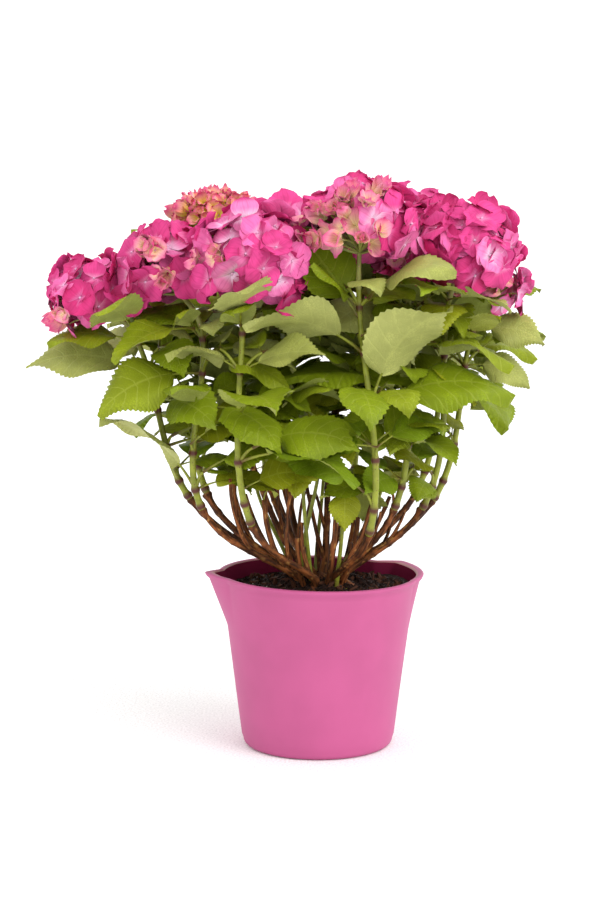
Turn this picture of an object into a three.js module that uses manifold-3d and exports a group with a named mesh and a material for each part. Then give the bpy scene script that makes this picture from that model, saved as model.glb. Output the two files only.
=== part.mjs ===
// A mophead hydrangea in its pot. Millimetres, +Z up, the front towards -Y.
// The origin is the centre of the pot's flat underside.
//
// A low woody crown sits on the soil. Brown canes fan out of it, each ending at an elbow where last
// year's wood stops. A green shoot with opposite leaf pairs stands on each elbow, and carries a flower head.
import * as THREE from "three";
import { mergeVertices } from "three/addons/utils/BufferGeometryUtils.js";
import Module from "manifold-3d";

const wasm = await Module();
wasm.setup();

// ---------------------------------------------------------------- driving dimensions
const GAP = 0.3; // clearance where one piece meets the next

const POT = {
  height: 154,
  rimRadius: 87,
  baseRadius: 67,
  wall: 5,
  floor: 6,
  footRound: 6, // radius of the rounded edge round the underside
  lipHeight: 4, // the wall turns out a little just under the rim
  lipProud: 2,
  rimFall: 4, // how much lower the right side of the rim lies than the left
  sides: 36,
};

// An ear is a pleat of the wall, pulled out to a sharp ridge. Azimuths run from +X towards +Y.
const EARS = [
  { azimuth: 183, reach: 12, before: 8, after: 22, drop: 46 },
  { azimuth: 42, reach: 18, before: 54, after: 9, drop: 48 },
];

const SOIL = { level: 141, lumps: 3.2, flatRadius: 42, sides: 30 };
const CROWN = { radius: 38, height: 21, footHeight: 14, stub: 17, sides: 12 };
const STUMP = { count: 9, radius: 2.4, shortest: 26, longest: 96 }; // old stems cut back between the canes

const CANE = { footRadius: 3.9, tipRadius: 3.1, sides: 5, steps: 4 };
const SHOOT = { footRadius: 3.2, tipRadius: 2.4, sides: 5, node: 1.4, nodeHalf: 3 };
const LEAF = {
  widthShare: 0.74, // blade width over blade length
  petioleShare: 0.3, // petiole length over blade length
  petioleRadius: 1.3,
  thickness: 1.8,
  lowestTip: POT.height + 12,
  skirtStart: 30, // beyond this distance from the pot's axis the lowest leaves hang higher and higher
  skirtSlope: 0.8, // millimetres up for each one out
  clearance: 9, // between the middles of two leaves that pass each other
  lean: 26, // degrees that a blade beside the plant's edge turns its face outwards
};
// The ways that a leaf may turn out of another's way, best first: degrees of swing and share of its length.
const WAYS = [[0, 1], [0, 0.88], [24, 0.95], [-24, 0.95], [42, 0.8], [-42, 0.8], [0, 0.62]];
// Leaf pairs up a shoot: share of its height, blade length, angle above level at the root and its fall to the tip.
const PAIRS = [
  { at: 0.12, length: 64, rise: 16, fall: 70 },
  { at: 0.33, length: 86, rise: 26, fall: 74 },
  { at: 0.54, length: 96, rise: 30, fall: 62 },
  { at: 0.75, length: 90, rise: 42, fall: 70 },
  { at: 0.93, length: 66, rise: 50, fall: 60 },
];
// Leaves that lead the outline and the front: cane, pair, side of the pair, then the leaf's own azimuth, length,
// rise, fall and roll. They take their room before the others.
const LEADING = [
  { cane: 1, pair: 3, side: 0, azimuth: 183, length: 84, rise: 24, fall: 50, roll: -38 },
  { cane: 1, pair: 3, side: 1, azimuth: 10, length: 60, rise: 62, fall: 80, roll: 25 },
  { cane: 1, pair: 4, side: 0, azimuth: 190, length: 62, rise: 20, fall: 46, roll: -20 },
  { cane: 2, pair: 0, side: 0, azimuth: 184, length: 82, rise: 62, fall: 58, roll: 12 },
  { cane: 2, pair: 3, side: 0, azimuth: 198, length: 78, rise: 4, fall: 56, roll: -42 },
  { cane: 2, pair: 4, side: 0, azimuth: 172, length: 68, rise: 40, fall: 66, roll: -15 },
  { cane: 4, pair: 3, side: 0, azimuth: 196, length: 54, rise: 40, fall: 60, roll: 15 },
  { cane: 4, pair: 3, side: 1, azimuth: 338, length: 62, rise: 30, fall: 40, roll: 30 },
  { cane: 6, pair: 1, side: 1, azimuth: 252, length: 66, rise: -16, fall: 60, roll: 0 },
  { cane: 7, pair: 2, side: 0, azimuth: 248, length: 62, rise: -6, fall: 62, roll: 0 },
  { cane: 8, pair: 2, side: 0, azimuth: 322, length: 96, rise: 74, fall: 66, roll: -20 },
  { cane: 8, pair: 3, side: 0, azimuth: 196, length: 86, rise: 40, fall: 66, roll: 30 },
  { cane: 8, pair: 4, side: 0, azimuth: 176, length: 60, rise: 40, fall: 4, roll: -28 },
  { cane: 8, pair: 4, side: 1, azimuth: 10, length: 80, rise: 22, fall: 24, roll: 15 },
  { cane: 9, pair: 0, side: 0, azimuth: 200, length: 60, rise: 12, fall: 40, roll: -20 },
  { cane: 10, pair: 4, side: 0, azimuth: 262, length: 52, rise: 38, fall: 118, roll: 0 },
  { cane: 11, pair: 3, side: 0, azimuth: 350, length: 50, rise: 10, fall: 66, roll: 42 },
  { cane: 11, pair: 4, side: 0, azimuth: 352, length: 60, rise: 18, fall: 62, roll: 56 },
];
const FLORET = { radius: 19.5, spacing: 23.2, stalkRadius: 1.3 };
const HEAD = { core: 0.74, stalkRadius: 2.4, sides: 8 };
// The furthest that leaves reach from the pot's axis.
const REACH = { left: -253, right: 206, front: -205, back: 212 };

// Each cane: the azimuth and distance of its foot on the crown, its elbow, the neck under its flower head, the
// azimuth of its first leaf pair, which pairs it still bears, and its head: middle, radius, flatness and fringe,
// the angle from the head's axis down to its lowest florets.
const CANES = [
  { foot: [200, 24], elbow: [-112, -32, 226], neck: [-160, -40, 372], turn: 270, pairs: [1, 2, 3, 4],
    head: { middle: [-196, -42, 402], radius: 36, flat: 0.95, fringe: 118 } },
  { foot: [222, 27], elbow: [-100, -60, 221], neck: [-100, -66, 378], turn: 180, pairs: [0, 1, 3, 4],
    head: { middle: [-130, -50, 424], radius: 46, flat: 0.84, fringe: 110 } },
  { foot: [172, 25], elbow: [-99, 12, 224], neck: [-96, 74, 424], turn: 140, pairs: [0, 1, 2, 3],
    head: { middle: [-90, 84, 464], radius: 42, flat: 0.62, fringe: 96 } },
  { foot: [262, 30], elbow: [-57, -80, 210], neck: [-64, -86, 386], turn: 255, pairs: [1, 2, 3, 4],
    head: { middle: [-58, -88, 432], radius: 49, flat: 0.96, fringe: 115 } },
  { foot: [165, 9], elbow: [-60, 14, 252], neck: [-86, 16, 318], turn: 100, pairs: [1, 3, 4] },
  { foot: [120, 14], elbow: [-30, 50, 246], neck: [-24, 22, 410], turn: 20, pairs: [0, 1, 2, 3],
    head: { middle: [-20, 12, 444], radius: 42, flat: 0.9, fringe: 105 } },
  { foot: [60, 10], elbow: [10, 34, 238], neck: [30, 66, 404], turn: 65, pairs: [1, 2, 3],
    head: { middle: [34, 72, 446], radius: 44, flat: 0.9, fringe: 105 } },
  { foot: [296, 29], elbow: [43, -66, 199], neck: [33, -82, 410], turn: 8, pairs: [0, 1, 2, 3, 4],
    head: { middle: [34, -82, 456], radius: 49, flat: 0.94, fringe: 112 } },
  { foot: [318, 22], elbow: [66, -32, 216], neck: [78, -18, 392], turn: 35, pairs: [0, 1, 2, 3],
    head: { middle: [82, 6, 450], radius: 42, flat: 0.95, fringe: 108 } },
  { foot: [350, 24], elbow: [92, 2, 211], neck: [112, -38, 398], turn: 75, pairs: [0, 1, 2, 4],
    head: { middle: [124, -44, 442], radius: 46, flat: 0.95, fringe: 112 } },
  { foot: [18, 25], elbow: [104, 34, 214], neck: [140, 14, 378], turn: 80, pairs: [0, 2, 3, 4],
    head: { middle: [158, 6, 404], radius: 26, flat: 0.9, fringe: 105 } },
  { foot: [108, 30], elbow: [-44, 94, 217], neck: [-58, 136, 372], turn: 30, pairs: [1, 2, 3, 4],
    head: { middle: [-64, 146, 412], radius: 45, flat: 0.9, fringe: 110 } },
  { foot: [78, 30], elbow: [32, 102, 214], neck: [42, 142, 378], turn: 330, pairs: [1, 2, 3, 4],
    head: { middle: [46, 154, 420], radius: 46, flat: 0.9, fringe: 110 } },
  { foot: [44, 28], elbow: [92, 80, 216], neck: [122, 98, 374], turn: 300, pairs: [1, 2, 3, 4],
    head: { middle: [130, 104, 416], radius: 44, flat: 0.9, fringe: 110 } },
];

// ---------------------------------------------------------------- colours
const paint = (color, roughness) =>
  new THREE.MeshStandardMaterial({ color, roughness, metalness: 0 });
const MATERIALS = {
  pot: paint("#d9639b", 0.6),
  soil: paint("#2a1a12", 0.95),
  wood: paint("#6b3a22", 0.8),
  foliage: paint("#6f8f34", 0.55),
  blossom: paint("#e0408f", 0.6),
};

// ---------------------------------------------------------------- small tools
const radians = THREE.MathUtils.degToRad;
const lerp = THREE.MathUtils.lerp;
const clamp = THREE.MathUtils.clamp;
const vec = (x, y, z) => new THREE.Vector3(x, y, z);
const UP = vec(0, 0, 1);

// Numbers from 0 to 1 that are the same on every run for the same seed.
function seeded(seed) {
  let state = seed >>> 0;
  return () => {
    state = (Math.imul(state, 1664525) + 1013904223) >>> 0;
    return state / 4294967296;
  };
}

// A level heading from an azimuth in degrees.
const heading = (azimuth) => vec(Math.cos(radians(azimuth)), Math.sin(radians(azimuth)), 0);

// A geometry from triangles, each given as its three corners.
function faces(triangles) {
  const positions = triangles.flatMap((corners) => corners.flatMap((corner) => corner.toArray()));
  return new THREE.BufferGeometry().setAttribute(
    "position",
    new THREE.Float32BufferAttribute(positions, 3),
  );
}

// A closed skin over rings of equal size. An end given as a single point closes in a tip, a ring in a flat fan.
function skin(rings, start, end) {
  const count = rings[0].length;
  const triangles = [];
  const face = (...corners) => triangles.push(corners);
  const middle = (ring) =>
    ring.reduce((sum, p) => sum.add(p), vec(0, 0, 0)).divideScalar(ring.length);
  const first = start ?? middle(rings[0]);
  const last = end ?? middle(rings.at(-1));
  for (let i = 0; i < count; i++) {
    const j = (i + 1) % count;
    face(first, rings[0][j], rings[0][i]);
    for (let k = 0; k + 1 < rings.length; k++) {
      const [low, high] = [rings[k], rings[k + 1]];
      face(low[i], low[j], high[j]);
      face(low[i], high[j], high[i]);
    }
    face(last, rings.at(-1)[i], rings.at(-1)[j]);
  }
  return faces(triangles);
}

// A closed geometry as a manifold solid, turned right side out if it was wound the other way.
function solidOf(geometry) {
  const merged = mergeVertices(geometry, 1e-4);
  const triVerts = new Uint32Array(merged.index.array);
  const build = () =>
    new wasm.Manifold(
      new wasm.Mesh({ numProp: 3, vertProperties: merged.attributes.position.array, triVerts }),
    );
  const solid = build();
  if (solid.volume() > 0) return solid;
  for (let i = 0; i < triVerts.length; i += 3)
    [triVerts[i + 1], triVerts[i + 2]] = [triVerts[i + 2], triVerts[i + 1]];
  return build();
}

function geometryOf(solid) {
  const mesh = solid.getMesh();
  return new THREE.BufferGeometry()
    .setAttribute("position", new THREE.BufferAttribute(new Float32Array(mesh.vertProperties), 3))
    .setIndex(new THREE.BufferAttribute(new Uint32Array(mesh.triVerts), 1));
}

// The largest single body of a solid: a scrap that a cut leaves loose is dropped.
function largestBody(solid) {
  return solid.decompose().reduce((best, part) => (part.volume() > best.volume() ? part : best));
}

// Whether a solid shares more than a trace of space with any of some others.
const touches = (solid, others) => others.some((other) => solid.intersect(other).volume() > 1e-3);

const fuse = (solids) => largestBody(solids.reduce((sum, solid) => sum.add(solid)));

// ---------------------------------------------------------------- limbs
// A limb's line between two points: a cubic that leaves and arrives along the two given pulls.
function limbLine(from, fromPull, to, toPull) {
  const reach = from.distanceTo(to);
  const [a, b] = [fromPull.clone().setLength(reach), toPull.clone().setLength(reach)];
  return (t) =>
    from.clone().multiplyScalar(2 * t ** 3 - 3 * t ** 2 + 1)
      .add(a.clone().multiplyScalar(t ** 3 - 2 * t ** 2 + t))
      .add(to.clone().multiplyScalar(-2 * t ** 3 + 3 * t ** 2))
      .add(b.clone().multiplyScalar(t ** 3 - t ** 2));
}

// The direction of a line at t.
const along = (line, t) => line(Math.min(t + 0.01, 1)).sub(line(Math.max(t - 0.01, 0))).normalize();

// A ring of points square to a direction.
function ringAt(middle, direction, radius, sides) {
  const side = vec(1, 0, 0).addScaledVector(direction, -direction.x).normalize();
  const other = direction.clone().cross(side);
  return Array.from({ length: sides }, (_, i) => {
    const turn = (2 * Math.PI * i) / sides;
    return middle.clone()
      .addScaledVector(side, radius * Math.cos(turn))
      .addScaledVector(other, radius * Math.sin(turn));
  });
}

// A limb along a line: rings at the given shares of it, with the radius that each share has.
function limb(line, shares, radiusAt, sides) {
  return solidOf(
    skin(shares.map((t) => ringAt(line(t), along(line, t), radiusAt(t), sides))),
  );
}

// ---------------------------------------------------------------- pot and soil
const bodyRadius = (z) => lerp(POT.baseRadius, POT.rimRadius, z / POT.height);

// How far the ears push the wall out at an azimuth and a height.
function earPush(azimuth, z) {
  return EARS.reduce((push, ear) => {
    const apart = ((azimuth - ear.azimuth + 540) % 360) - 180;
    const width = apart < 0 ? ear.before : ear.after;
    const across = clamp(1 - Math.abs(apart) / width, 0, 1);
    const up = clamp((z - (POT.height - ear.drop)) / ear.drop, 0, 1);
    return push + ear.reach * across * up;
  }, 0);
}

function makePot() {
  const { height, lipHeight, lipProud, footRound, wall, floor, rimFall, sides } = POT;
  // Height, radius and the share of the ears, from the underside up, over the rim and down the inside.
  const outside = [
    { z: 0, radius: bodyRadius(0) - footRound },
    { z: footRound * 0.3, radius: bodyRadius(0) - footRound * 0.3 },
    { z: footRound, radius: bodyRadius(footRound) },
    { z: height / 2, radius: bodyRadius(height / 2) },
    { z: height - 50, radius: bodyRadius(height - 50) },
    { z: height - lipHeight - 2, radius: bodyRadius(height - lipHeight - 2) },
    { z: height - lipHeight, radius: bodyRadius(height - lipHeight) + lipProud },
    { z: height, radius: bodyRadius(height) + lipProud },
  ].map((row) => ({ ...row, ears: 1 }));
  const inside = [
    { z: height, radius: bodyRadius(height) + lipProud - wall, ears: 0 },
    { z: height - 2 * lipHeight, radius: bodyRadius(height - 2 * lipHeight) - wall, ears: 0 },
    { z: floor, radius: bodyRadius(floor) - wall, ears: 0 },
  ];
  const rings = [...outside, ...inside].map(({ z, radius, ears }) =>
    Array.from({ length: sides }, (_, i) => {
      const azimuth = (360 * i) / sides;
      const r = radius + ears * earPush(azimuth, z);
      const [x, y] = [r * Math.cos(radians(azimuth)), r * Math.sin(radians(azimuth))];
      const fall = (rimFall * x) / (2 * POT.rimRadius);
      return vec(x, y, z - fall * clamp((z - height / 2) / (height / 2), 0, 1));
    }),
  );
  return solidOf(skin(rings, vec(0, 0, 0), vec(0, 0, floor)));
}

function makeSoil() {
  const random = seeded(11);
  const round = Math.cos(Math.PI / POT.sides); // the flats of the pot's inner wall lie this much nearer
  const fit = (z) => (bodyRadius(z) - POT.wall) * round - GAP;
  const bottom = POT.floor + GAP;
  const ring = (radius, heightAt) =>
    Array.from({ length: SOIL.sides }, (_, i) => {
      const turn = (2 * Math.PI * i) / SOIL.sides;
      return vec(radius * Math.cos(turn), radius * Math.sin(turn), heightAt());
    });
  const edge = fit(SOIL.level - SOIL.lumps);
  const lump = () => SOIL.level - SOIL.lumps * random();
  return solidOf(
    skin(
      [
        ring(fit(bottom), () => bottom),
        ring(edge, () => SOIL.level - SOIL.lumps),
        ring(lerp(edge, SOIL.flatRadius, 0.3), lump),
        ring(lerp(edge, SOIL.flatRadius, 0.65), lump),
        ring(SOIL.flatRadius, () => SOIL.level),
      ],
      vec(0, 0, bottom),
      vec(0, 0, SOIL.level),
    ),
  );
}

// ---------------------------------------------------------------- canes and their crown
// The lines of one cane: wood from the crown to the elbow, and the shoot from there to the neck.
function plan(cane) {
  const [azimuth, distance] = cane.foot;
  const foot = heading(azimuth).multiplyScalar(distance)
    .setZ(SOIL.level + CROWN.footHeight);
  const elbow = vec(...cane.elbow);
  const neck = vec(...cane.neck);
  const middle = cane.head ? vec(...cane.head.middle) : neck.clone().addScaledVector(UP, 20);
  const outward = elbow.clone().sub(foot).setZ(0).normalize();
  const climb = elbow.clone().sub(foot).normalize();
  const rise = neck.clone().sub(elbow).normalize();
  const start = outward.multiplyScalar(0.9).addScaledVector(UP, 0.25 + climb.z * 0.6);
  const bend = climb.clone().add(rise);
  const finish = rise.clone().add(middle.clone().sub(neck).normalize().multiplyScalar(0.5));
  const wood = limbLine(foot, start, elbow, bend);
  const stem = limbLine(elbow, bend, neck, finish);
  return { ...cane, wood, stem, elbow, neck, middle, reach: foot.distanceTo(elbow),
    height: elbow.distanceTo(neck) };
}

const caneRadius = (t) =>
  lerp(CANE.footRadius, CANE.tipRadius, t) * (t > 0.985 ? 1.25 : 1);

// The crown: a low mound with the stub of every cane fused into it, cut flat where it sits on the soil.
function makeCrown(planned, woods) {
  const bottom = SOIL.level + GAP;
  const random = seeded(5);
  const ring = (share, height) =>
    Array.from({ length: CROWN.sides }, (_, i) => {
      const turn = (2 * Math.PI * i) / CROWN.sides;
      const r = CROWN.radius * share * (0.88 + 0.12 * random());
      return vec(r * Math.cos(turn), r * Math.sin(turn), bottom + CROWN.height * height);
    });
  const mound = solidOf(
    skin([ring(1, 0), ring(0.94, 0.35), ring(0.7, 0.8)], vec(0, 0, bottom),
      vec(0, 0, bottom + CROWN.height)),
  );
  const stubs = planned.map(({ wood, reach }) => {
    const end = CROWN.stub / reach;
    return limb(wood, [0, end], (t) => CANE.footRadius * (1.35 - 0.35 * (t / end)), CANE.sides);
  });
  const stumps = Array.from({ length: STUMP.count }, (_, i) => {
    const out = heading((360 * (i + 0.6 * random())) / STUMP.count);
    const from = out.clone().multiplyScalar(8 + 14 * random()).setZ(bottom + CROWN.height * 0.3);
    const length = lerp(STUMP.shortest, STUMP.longest, random());
    const to = from.clone().addScaledVector(out, length * 0.45).addScaledVector(UP, length);
    return limb(limbLine(from, out.add(UP), to, UP), [0, 0.5, 1], () => STUMP.radius, 4);
  });
  const free = stumps.filter((stump) => !touches(stump, woods));
  return fuse([mound, ...stubs, ...free]);
}

function makeCane({ wood, reach }) {
  const start = (CROWN.stub + GAP) / reach;
  const shares = Array.from({ length: CANE.steps }, (_, i) => lerp(start, 0.96, i / (CANE.steps - 1)));
  return limb(wood, [...shares, 0.99, 1], caneRadius, CANE.sides);
}

// ---------------------------------------------------------------- leaves
// A leaf's midrib: it leaves the stem at an angle above level and falls evenly as it goes out.
// Each station holds the point, the direction, the side and the face's normal, and the half width there.
function leafStations(leaf) {
  const petiole = LEAF.petioleShare * leaf.length;
  const blade = [0.16, 0.46, 0.8, 1];
  const stops = [0, petiole, ...blade.map((s) => petiole + s * leaf.length)];
  const whole = petiole + leaf.length;
  const level = heading(leaf.azimuth);
  const point = leaf.root.clone();
  const pitchAt = (d) => radians(leaf.rise - leaf.fall * (d / whole) ** 1.3);
  let walked = 0;
  return stops.map((stop, i) => {
    const pieces = 4;
    for (let k = 0; k < pieces; k++) {
      const step = (stop - walked) / pieces;
      const pitch = pitchAt(walked + (k + 0.5) * step);
      point.addScaledVector(level, step * Math.cos(pitch)).addScaledVector(UP, step * Math.sin(pitch));
    }
    walked = stop;
    const pitch = pitchAt(stop);
    const forward = level.clone().multiplyScalar(Math.cos(pitch)).addScaledVector(UP, Math.sin(pitch));
    const side = UP.clone().cross(level).applyAxisAngle(forward, radians(leaf.roll));
    const normal = forward.clone().cross(side);
    const s = i < 2 ? 0 : blade[i - 2];
    const half = 0.5 * LEAF.widthShare * leaf.length * bladeWidth(s);
    return { point: point.clone(), side, normal, half, s };
  });
}

// The blade's half outline over its greatest half width: egg-shaped, drawn out to a point.
const bladeWidth = (s) => Math.sin(Math.PI * s ** 0.75) * (1 - 0.4 * s ** 4) * 1.04;

// The points by which leaves are kept apart: the middle and both edges along the blade.
function leafMarks(leaf) {
  return leafStations(leaf).slice(1).flatMap(({ point, side, half }) => [
    point,
    point.clone().addScaledVector(side, half * 0.85),
    point.clone().addScaledVector(side, -half * 0.85),
  ]);
}

// Petiole and blade in one skin with a four-cornered section: two edges, and a rib above and below.
function makeLeaf(leaf) {
  const stations = leafStations(leaf);
  const rings = stations.slice(0, -1).map(({ point, side, normal, half }, i) => {
    const reach = Math.max(half, LEAF.petioleRadius);
    const lift = i < 2 ? 0 : half * Math.tan(radians(leaf.fold));
    const thick = i < 2 ? LEAF.petioleRadius : LEAF.thickness / 2;
    const edge = (sign) =>
      point.clone().addScaledVector(side, sign * reach).addScaledVector(normal, lift);
    return [edge(1), point.clone().addScaledVector(normal, thick), edge(-1),
      point.clone().addScaledVector(normal, -thick)];
  });
  return solidOf(skin(rings, undefined, stations.at(-1).point));
}

// The leaves that a shoot would bear if it stood alone, each with a few ways to turn out of another's way.
function leafWishes({ stem, turn, pairs }, index) {
  const random = seeded(100 + index);
  return pairs.flatMap((rank) => {
    const pair = PAIRS[rank];
    const root = stem(pair.at);
    const outward = root.clone().setZ(0).normalize();
    return [0, 1].map((side) => {
      const azimuth = turn + 90 * rank + 180 * side + 24 * (random() - 0.5);
      const ruled = {
        azimuth,
        length: pair.length * (0.88 + 0.24 * random()),
        rise: pair.rise + 20 * (random() - 0.5),
        fall: pair.fall + 24 * (random() - 0.5),
        roll: 40 * (random() - 0.5) - LEAF.lean * outward.dot(heading(azimuth + 90)),
        fold: 8 + 16 * random(),
      };
      const given = LEADING.find(
        (leaf) => leaf.cane === index + 1 && leaf.pair === rank && leaf.side === side);
      const leaf = { ...ruled, ...given, root };
      const ways = WAYS.map(([swing, size]) =>
        ({ ...leaf, azimuth: leaf.azimuth + swing, length: leaf.length * size }));
      return { index, ways, leads: Boolean(given) };
    });
  });
}

// ---------------------------------------------------------------- flower heads
// The floret places of a head: a spiral over its dome, from the top down to the fringe.
function floretPlaces({ middle, neck, head }, index) {
  const random = seeded(500 + index);
  const axis = middle.clone().sub(neck).normalize().add(UP).normalize();
  const side = vec(1, 0, 0).addScaledVector(axis, -axis.x).normalize();
  const other = axis.clone().cross(side);
  const cap = 1 - Math.cos(radians(head.fringe));
  const area = 2 * Math.PI * head.radius ** 2 * cap * (0.4 + 0.6 * head.flat);
  const count = Math.max(5, Math.round(area / (Math.PI * FLORET.spacing ** 2) / 0.82));
  return Array.from({ length: count }, (_, i) => {
    const down = 1 - (cap * (i + 0.5)) / count;
    const across = Math.sqrt(1 - down * down);
    const turn = i * Math.PI * (3 - Math.sqrt(5));
    const out = side.clone().multiplyScalar(across * Math.cos(turn))
      .addScaledVector(other, across * Math.sin(turn))
      .addScaledVector(axis, down * head.flat);
    const reach = head.radius * (0.94 + 0.08 * random());
    const facing = out.clone()
      .add(vec(random() - 0.5, random() - 0.5, random() - 0.5).multiplyScalar(0.4)).normalize();
    const size = FLORET.radius * (0.85 + 0.3 * random()) * clamp(head.radius / 42, 0.7, 1);
    const spin = 90 * random();
    const inner = middle.clone().addScaledVector(out, head.radius * HEAD.core * 0.6);
    // A floret with no room is tried smaller and closer in.
    return [1, 0.8, 0.62].map((share) => {
      const point = middle.clone().addScaledVector(out, lerp(head.radius * HEAD.core, reach, share ** 2));
      return { point, facing, inner, size: size * share, spin };
    });
  });
}

// A floret: four broad lobes round a shallow cup, drawn together behind into a thin stalk that ends in the head's
// core. Each lobe has two corners and a notch beside it; the stalk has one corner under each lobe.
function makeFloret({ point, facing, inner, size, spin }) {
  const side = vec(facing.z, facing.x, facing.y);
  side.addScaledVector(facing, -side.dot(facing)).normalize().applyAxisAngle(facing, radians(spin));
  const other = facing.clone().cross(side);
  const at = (degrees, reach, depth) =>
    point.clone()
      .addScaledVector(side, reach * Math.cos(radians(degrees)))
      .addScaledVector(other, reach * Math.sin(radians(degrees)))
      .addScaledVector(facing, -depth);
  const lobes = Array.from({ length: 4 }, (_, k) => ({
    left: at(90 * k - 23, size, 0),
    right: at(90 * k + 23, size, 0),
    notch: at(90 * k + 45, size * 0.66, 0),
    stalk: at(90 * k, FLORET.stalkRadius, size * 0.3),
  }));
  const eye = at(0, 0, size * 0.14);
  return solidOf(faces(lobes.flatMap(({ left, right, notch, stalk }, k) => {
    const next = lobes[(k + 1) % 4];
    return [
      [eye, left, right], [eye, right, notch], [eye, notch, next.left],
      [stalk, right, left], [stalk, notch, right], [next.stalk, next.left, notch],
      [stalk, next.stalk, notch], [inner, next.stalk, stalk],
    ];
  })));
}

// The core under the florets, an egg with its top cut to the head's flatness.
function makeCore({ middle, head }) {
  const radius = head.radius * HEAD.core;
  const ring = (degrees) =>
    Array.from({ length: HEAD.sides }, (_, i) => {
      const turn = (2 * Math.PI * i) / HEAD.sides;
      const r = radius * Math.cos(radians(degrees));
      return middle.clone().add(
        vec(r * Math.cos(turn), r * Math.sin(turn), radius * head.flat * Math.sin(radians(degrees))));
    });
  const pole = (sign) => middle.clone().addScaledVector(UP, sign * radius * head.flat);
  return solidOf(skin([ring(-42), ring(0), ring(42)], pole(-1), pole(1)));
}

// The stalk from the neck into the core.
function makeStalk({ stem, neck, middle, head }) {
  const direction = along(stem, 1);
  const from = neck.clone().addScaledVector(direction, GAP);
  const line = limbLine(from, direction, middle, middle.clone().sub(from).add(UP));
  return limb(line, [0, 0.25, 0.5, 0.9], () => HEAD.stalkRadius, CANE.sides);
}

// ---------------------------------------------------------------- the plant
function makePlant() {
  const planned = CANES.map(plan);
  const woods = planned.map(makeCane);
  const crown = makeCrown(planned, woods);

  // Leaves keep off these: every stem, and the middle of every flower head.
  const keepOff = planned.flatMap(({ wood, stem, middle, head }, owner) => [
    ...[0.3, 0.5, 0.7, 0.9].map((t) => ({ point: wood(t), room: 9, owner })),
    ...Array.from({ length: 12 }, (_, i) => ({ point: stem(i / 11), room: 10, owner })),
    ...(head ? [{ point: middle, room: head.radius * 0.8, owner: -1 }] : []),
  ]);
  const stems = planned.map(({ stem, height, pairs }) => {
    const start = GAP / height;
    const edge = SHOOT.nodeHalf / height;
    const knots = pairs.map((rank) => PAIRS[rank].at);
    const shares = [start, ...knots.flatMap((at) => [at - edge, at, at + edge]), 1];
    const radiusAt = (t) =>
      lerp(SHOOT.footRadius, SHOOT.tipRadius, t) * (knots.includes(t) ? SHOOT.node : 1);
    return limb(stem, shares, radiusAt, SHOOT.sides);
  });
  const flowering = planned.filter(({ head }) => head);
  const hearts = flowering.map((cane) => [makeCore(cane), makeStalk(cane)]);
  const blooms = [];
  flowering.forEach((cane, index) => {
    const others = [...hearts.filter((_, i) => i !== index).flat(), ...stems, ...woods, ...blooms];
    const florets = floretPlaces(cane, index)
      .map((ways) => ways.map(makeFloret).find((floret) => !touches(floret, others)))
      .filter(Boolean);
    blooms.push(fuse([...hearts[index], ...florets]));
  });

  const marks = [];
  const shoots = [...stems];
  const wishes = planned.flatMap(leafWishes).sort((a, b) => b.leads - a.leads);
  for (const { index, ways, leads } of wishes) {
    const rivals = [...blooms, ...woods, crown, ...shoots.filter((_, i) => i !== index)];
    const chosen = ways.find((leaf) => {
      const own = leafMarks(leaf);
      const skirt = leads ? 0 : LEAF.skirtSlope;
      const astray = own.some(
        ({ x, y, z }) => z < LEAF.lowestTip + skirt * (Math.hypot(x, y) - LEAF.skirtStart) ||
          z < LEAF.lowestTip || x < REACH.left || x > REACH.right || y < REACH.front || y > REACH.back);
      const crowded = own.some(
        (p) =>
          marks.some((mark) => mark.distanceTo(p) < LEAF.clearance) ||
          keepOff.some(({ point, room, owner }) => owner !== index && point.distanceTo(p) < room));
      return !astray && !crowded && !touches(makeLeaf(leaf), rivals);
    });
    if (!chosen) continue;
    marks.push(...leafMarks(chosen));
    shoots[index] = fuse([shoots[index], makeLeaf(chosen)]);
  }
  return { crown, woods, shoots, blooms };
}

// ---------------------------------------------------------------- assembly
const plant = new THREE.Group();
const place = (name, solid, material) => {
  const mesh = new THREE.Mesh(geometryOf(solid), material);
  mesh.name = name;
  plant.add(mesh);
};

const { crown, woods, shoots, blooms } = makePlant();
place("pot", makePot(), MATERIALS.pot);
place("soil", makeSoil(), MATERIALS.soil);
place("woody_crown", crown, MATERIALS.wood);
woods.forEach((solid, i) => place(`cane_${i + 1}`, solid, MATERIALS.wood));
shoots.forEach((solid, i) => place(`leafy_shoot_${i + 1}`, solid, MATERIALS.foliage));
blooms.forEach((solid, i) => place(`flower_head_${i + 1}`, solid, MATERIALS.blossom));

export default plant;
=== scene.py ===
"""A pink mophead hydrangea in its pot: canes, green shoots with opposite leaves, and round heads of florets.

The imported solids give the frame. Leaves, twigs and florets grow on from the canes by the same seeded rule as
in the part's source, carried to finer twigs and to many more florets. Everything is in metres; the plan's
tables are in millimetres, like a nursery drawing.
"""

import math
from types import SimpleNamespace

import bpy
import numpy as np
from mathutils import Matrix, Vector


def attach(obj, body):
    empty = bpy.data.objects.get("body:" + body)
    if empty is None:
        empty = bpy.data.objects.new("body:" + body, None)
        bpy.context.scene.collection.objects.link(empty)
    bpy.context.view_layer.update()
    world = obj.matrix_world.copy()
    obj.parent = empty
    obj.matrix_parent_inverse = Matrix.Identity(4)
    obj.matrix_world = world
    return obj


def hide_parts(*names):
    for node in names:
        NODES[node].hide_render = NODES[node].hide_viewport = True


bl_info = {
    "name": "Potted Hydrangea",
    "version": (1, 0, 0),
    "blender": (4, 5, 0),
    "location": "View3D > Sidebar > Hydrangea",
    "description": "Builds a mophead hydrangea in its pot round the packed solids",
    "category": "Add Mesh",
}

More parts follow.
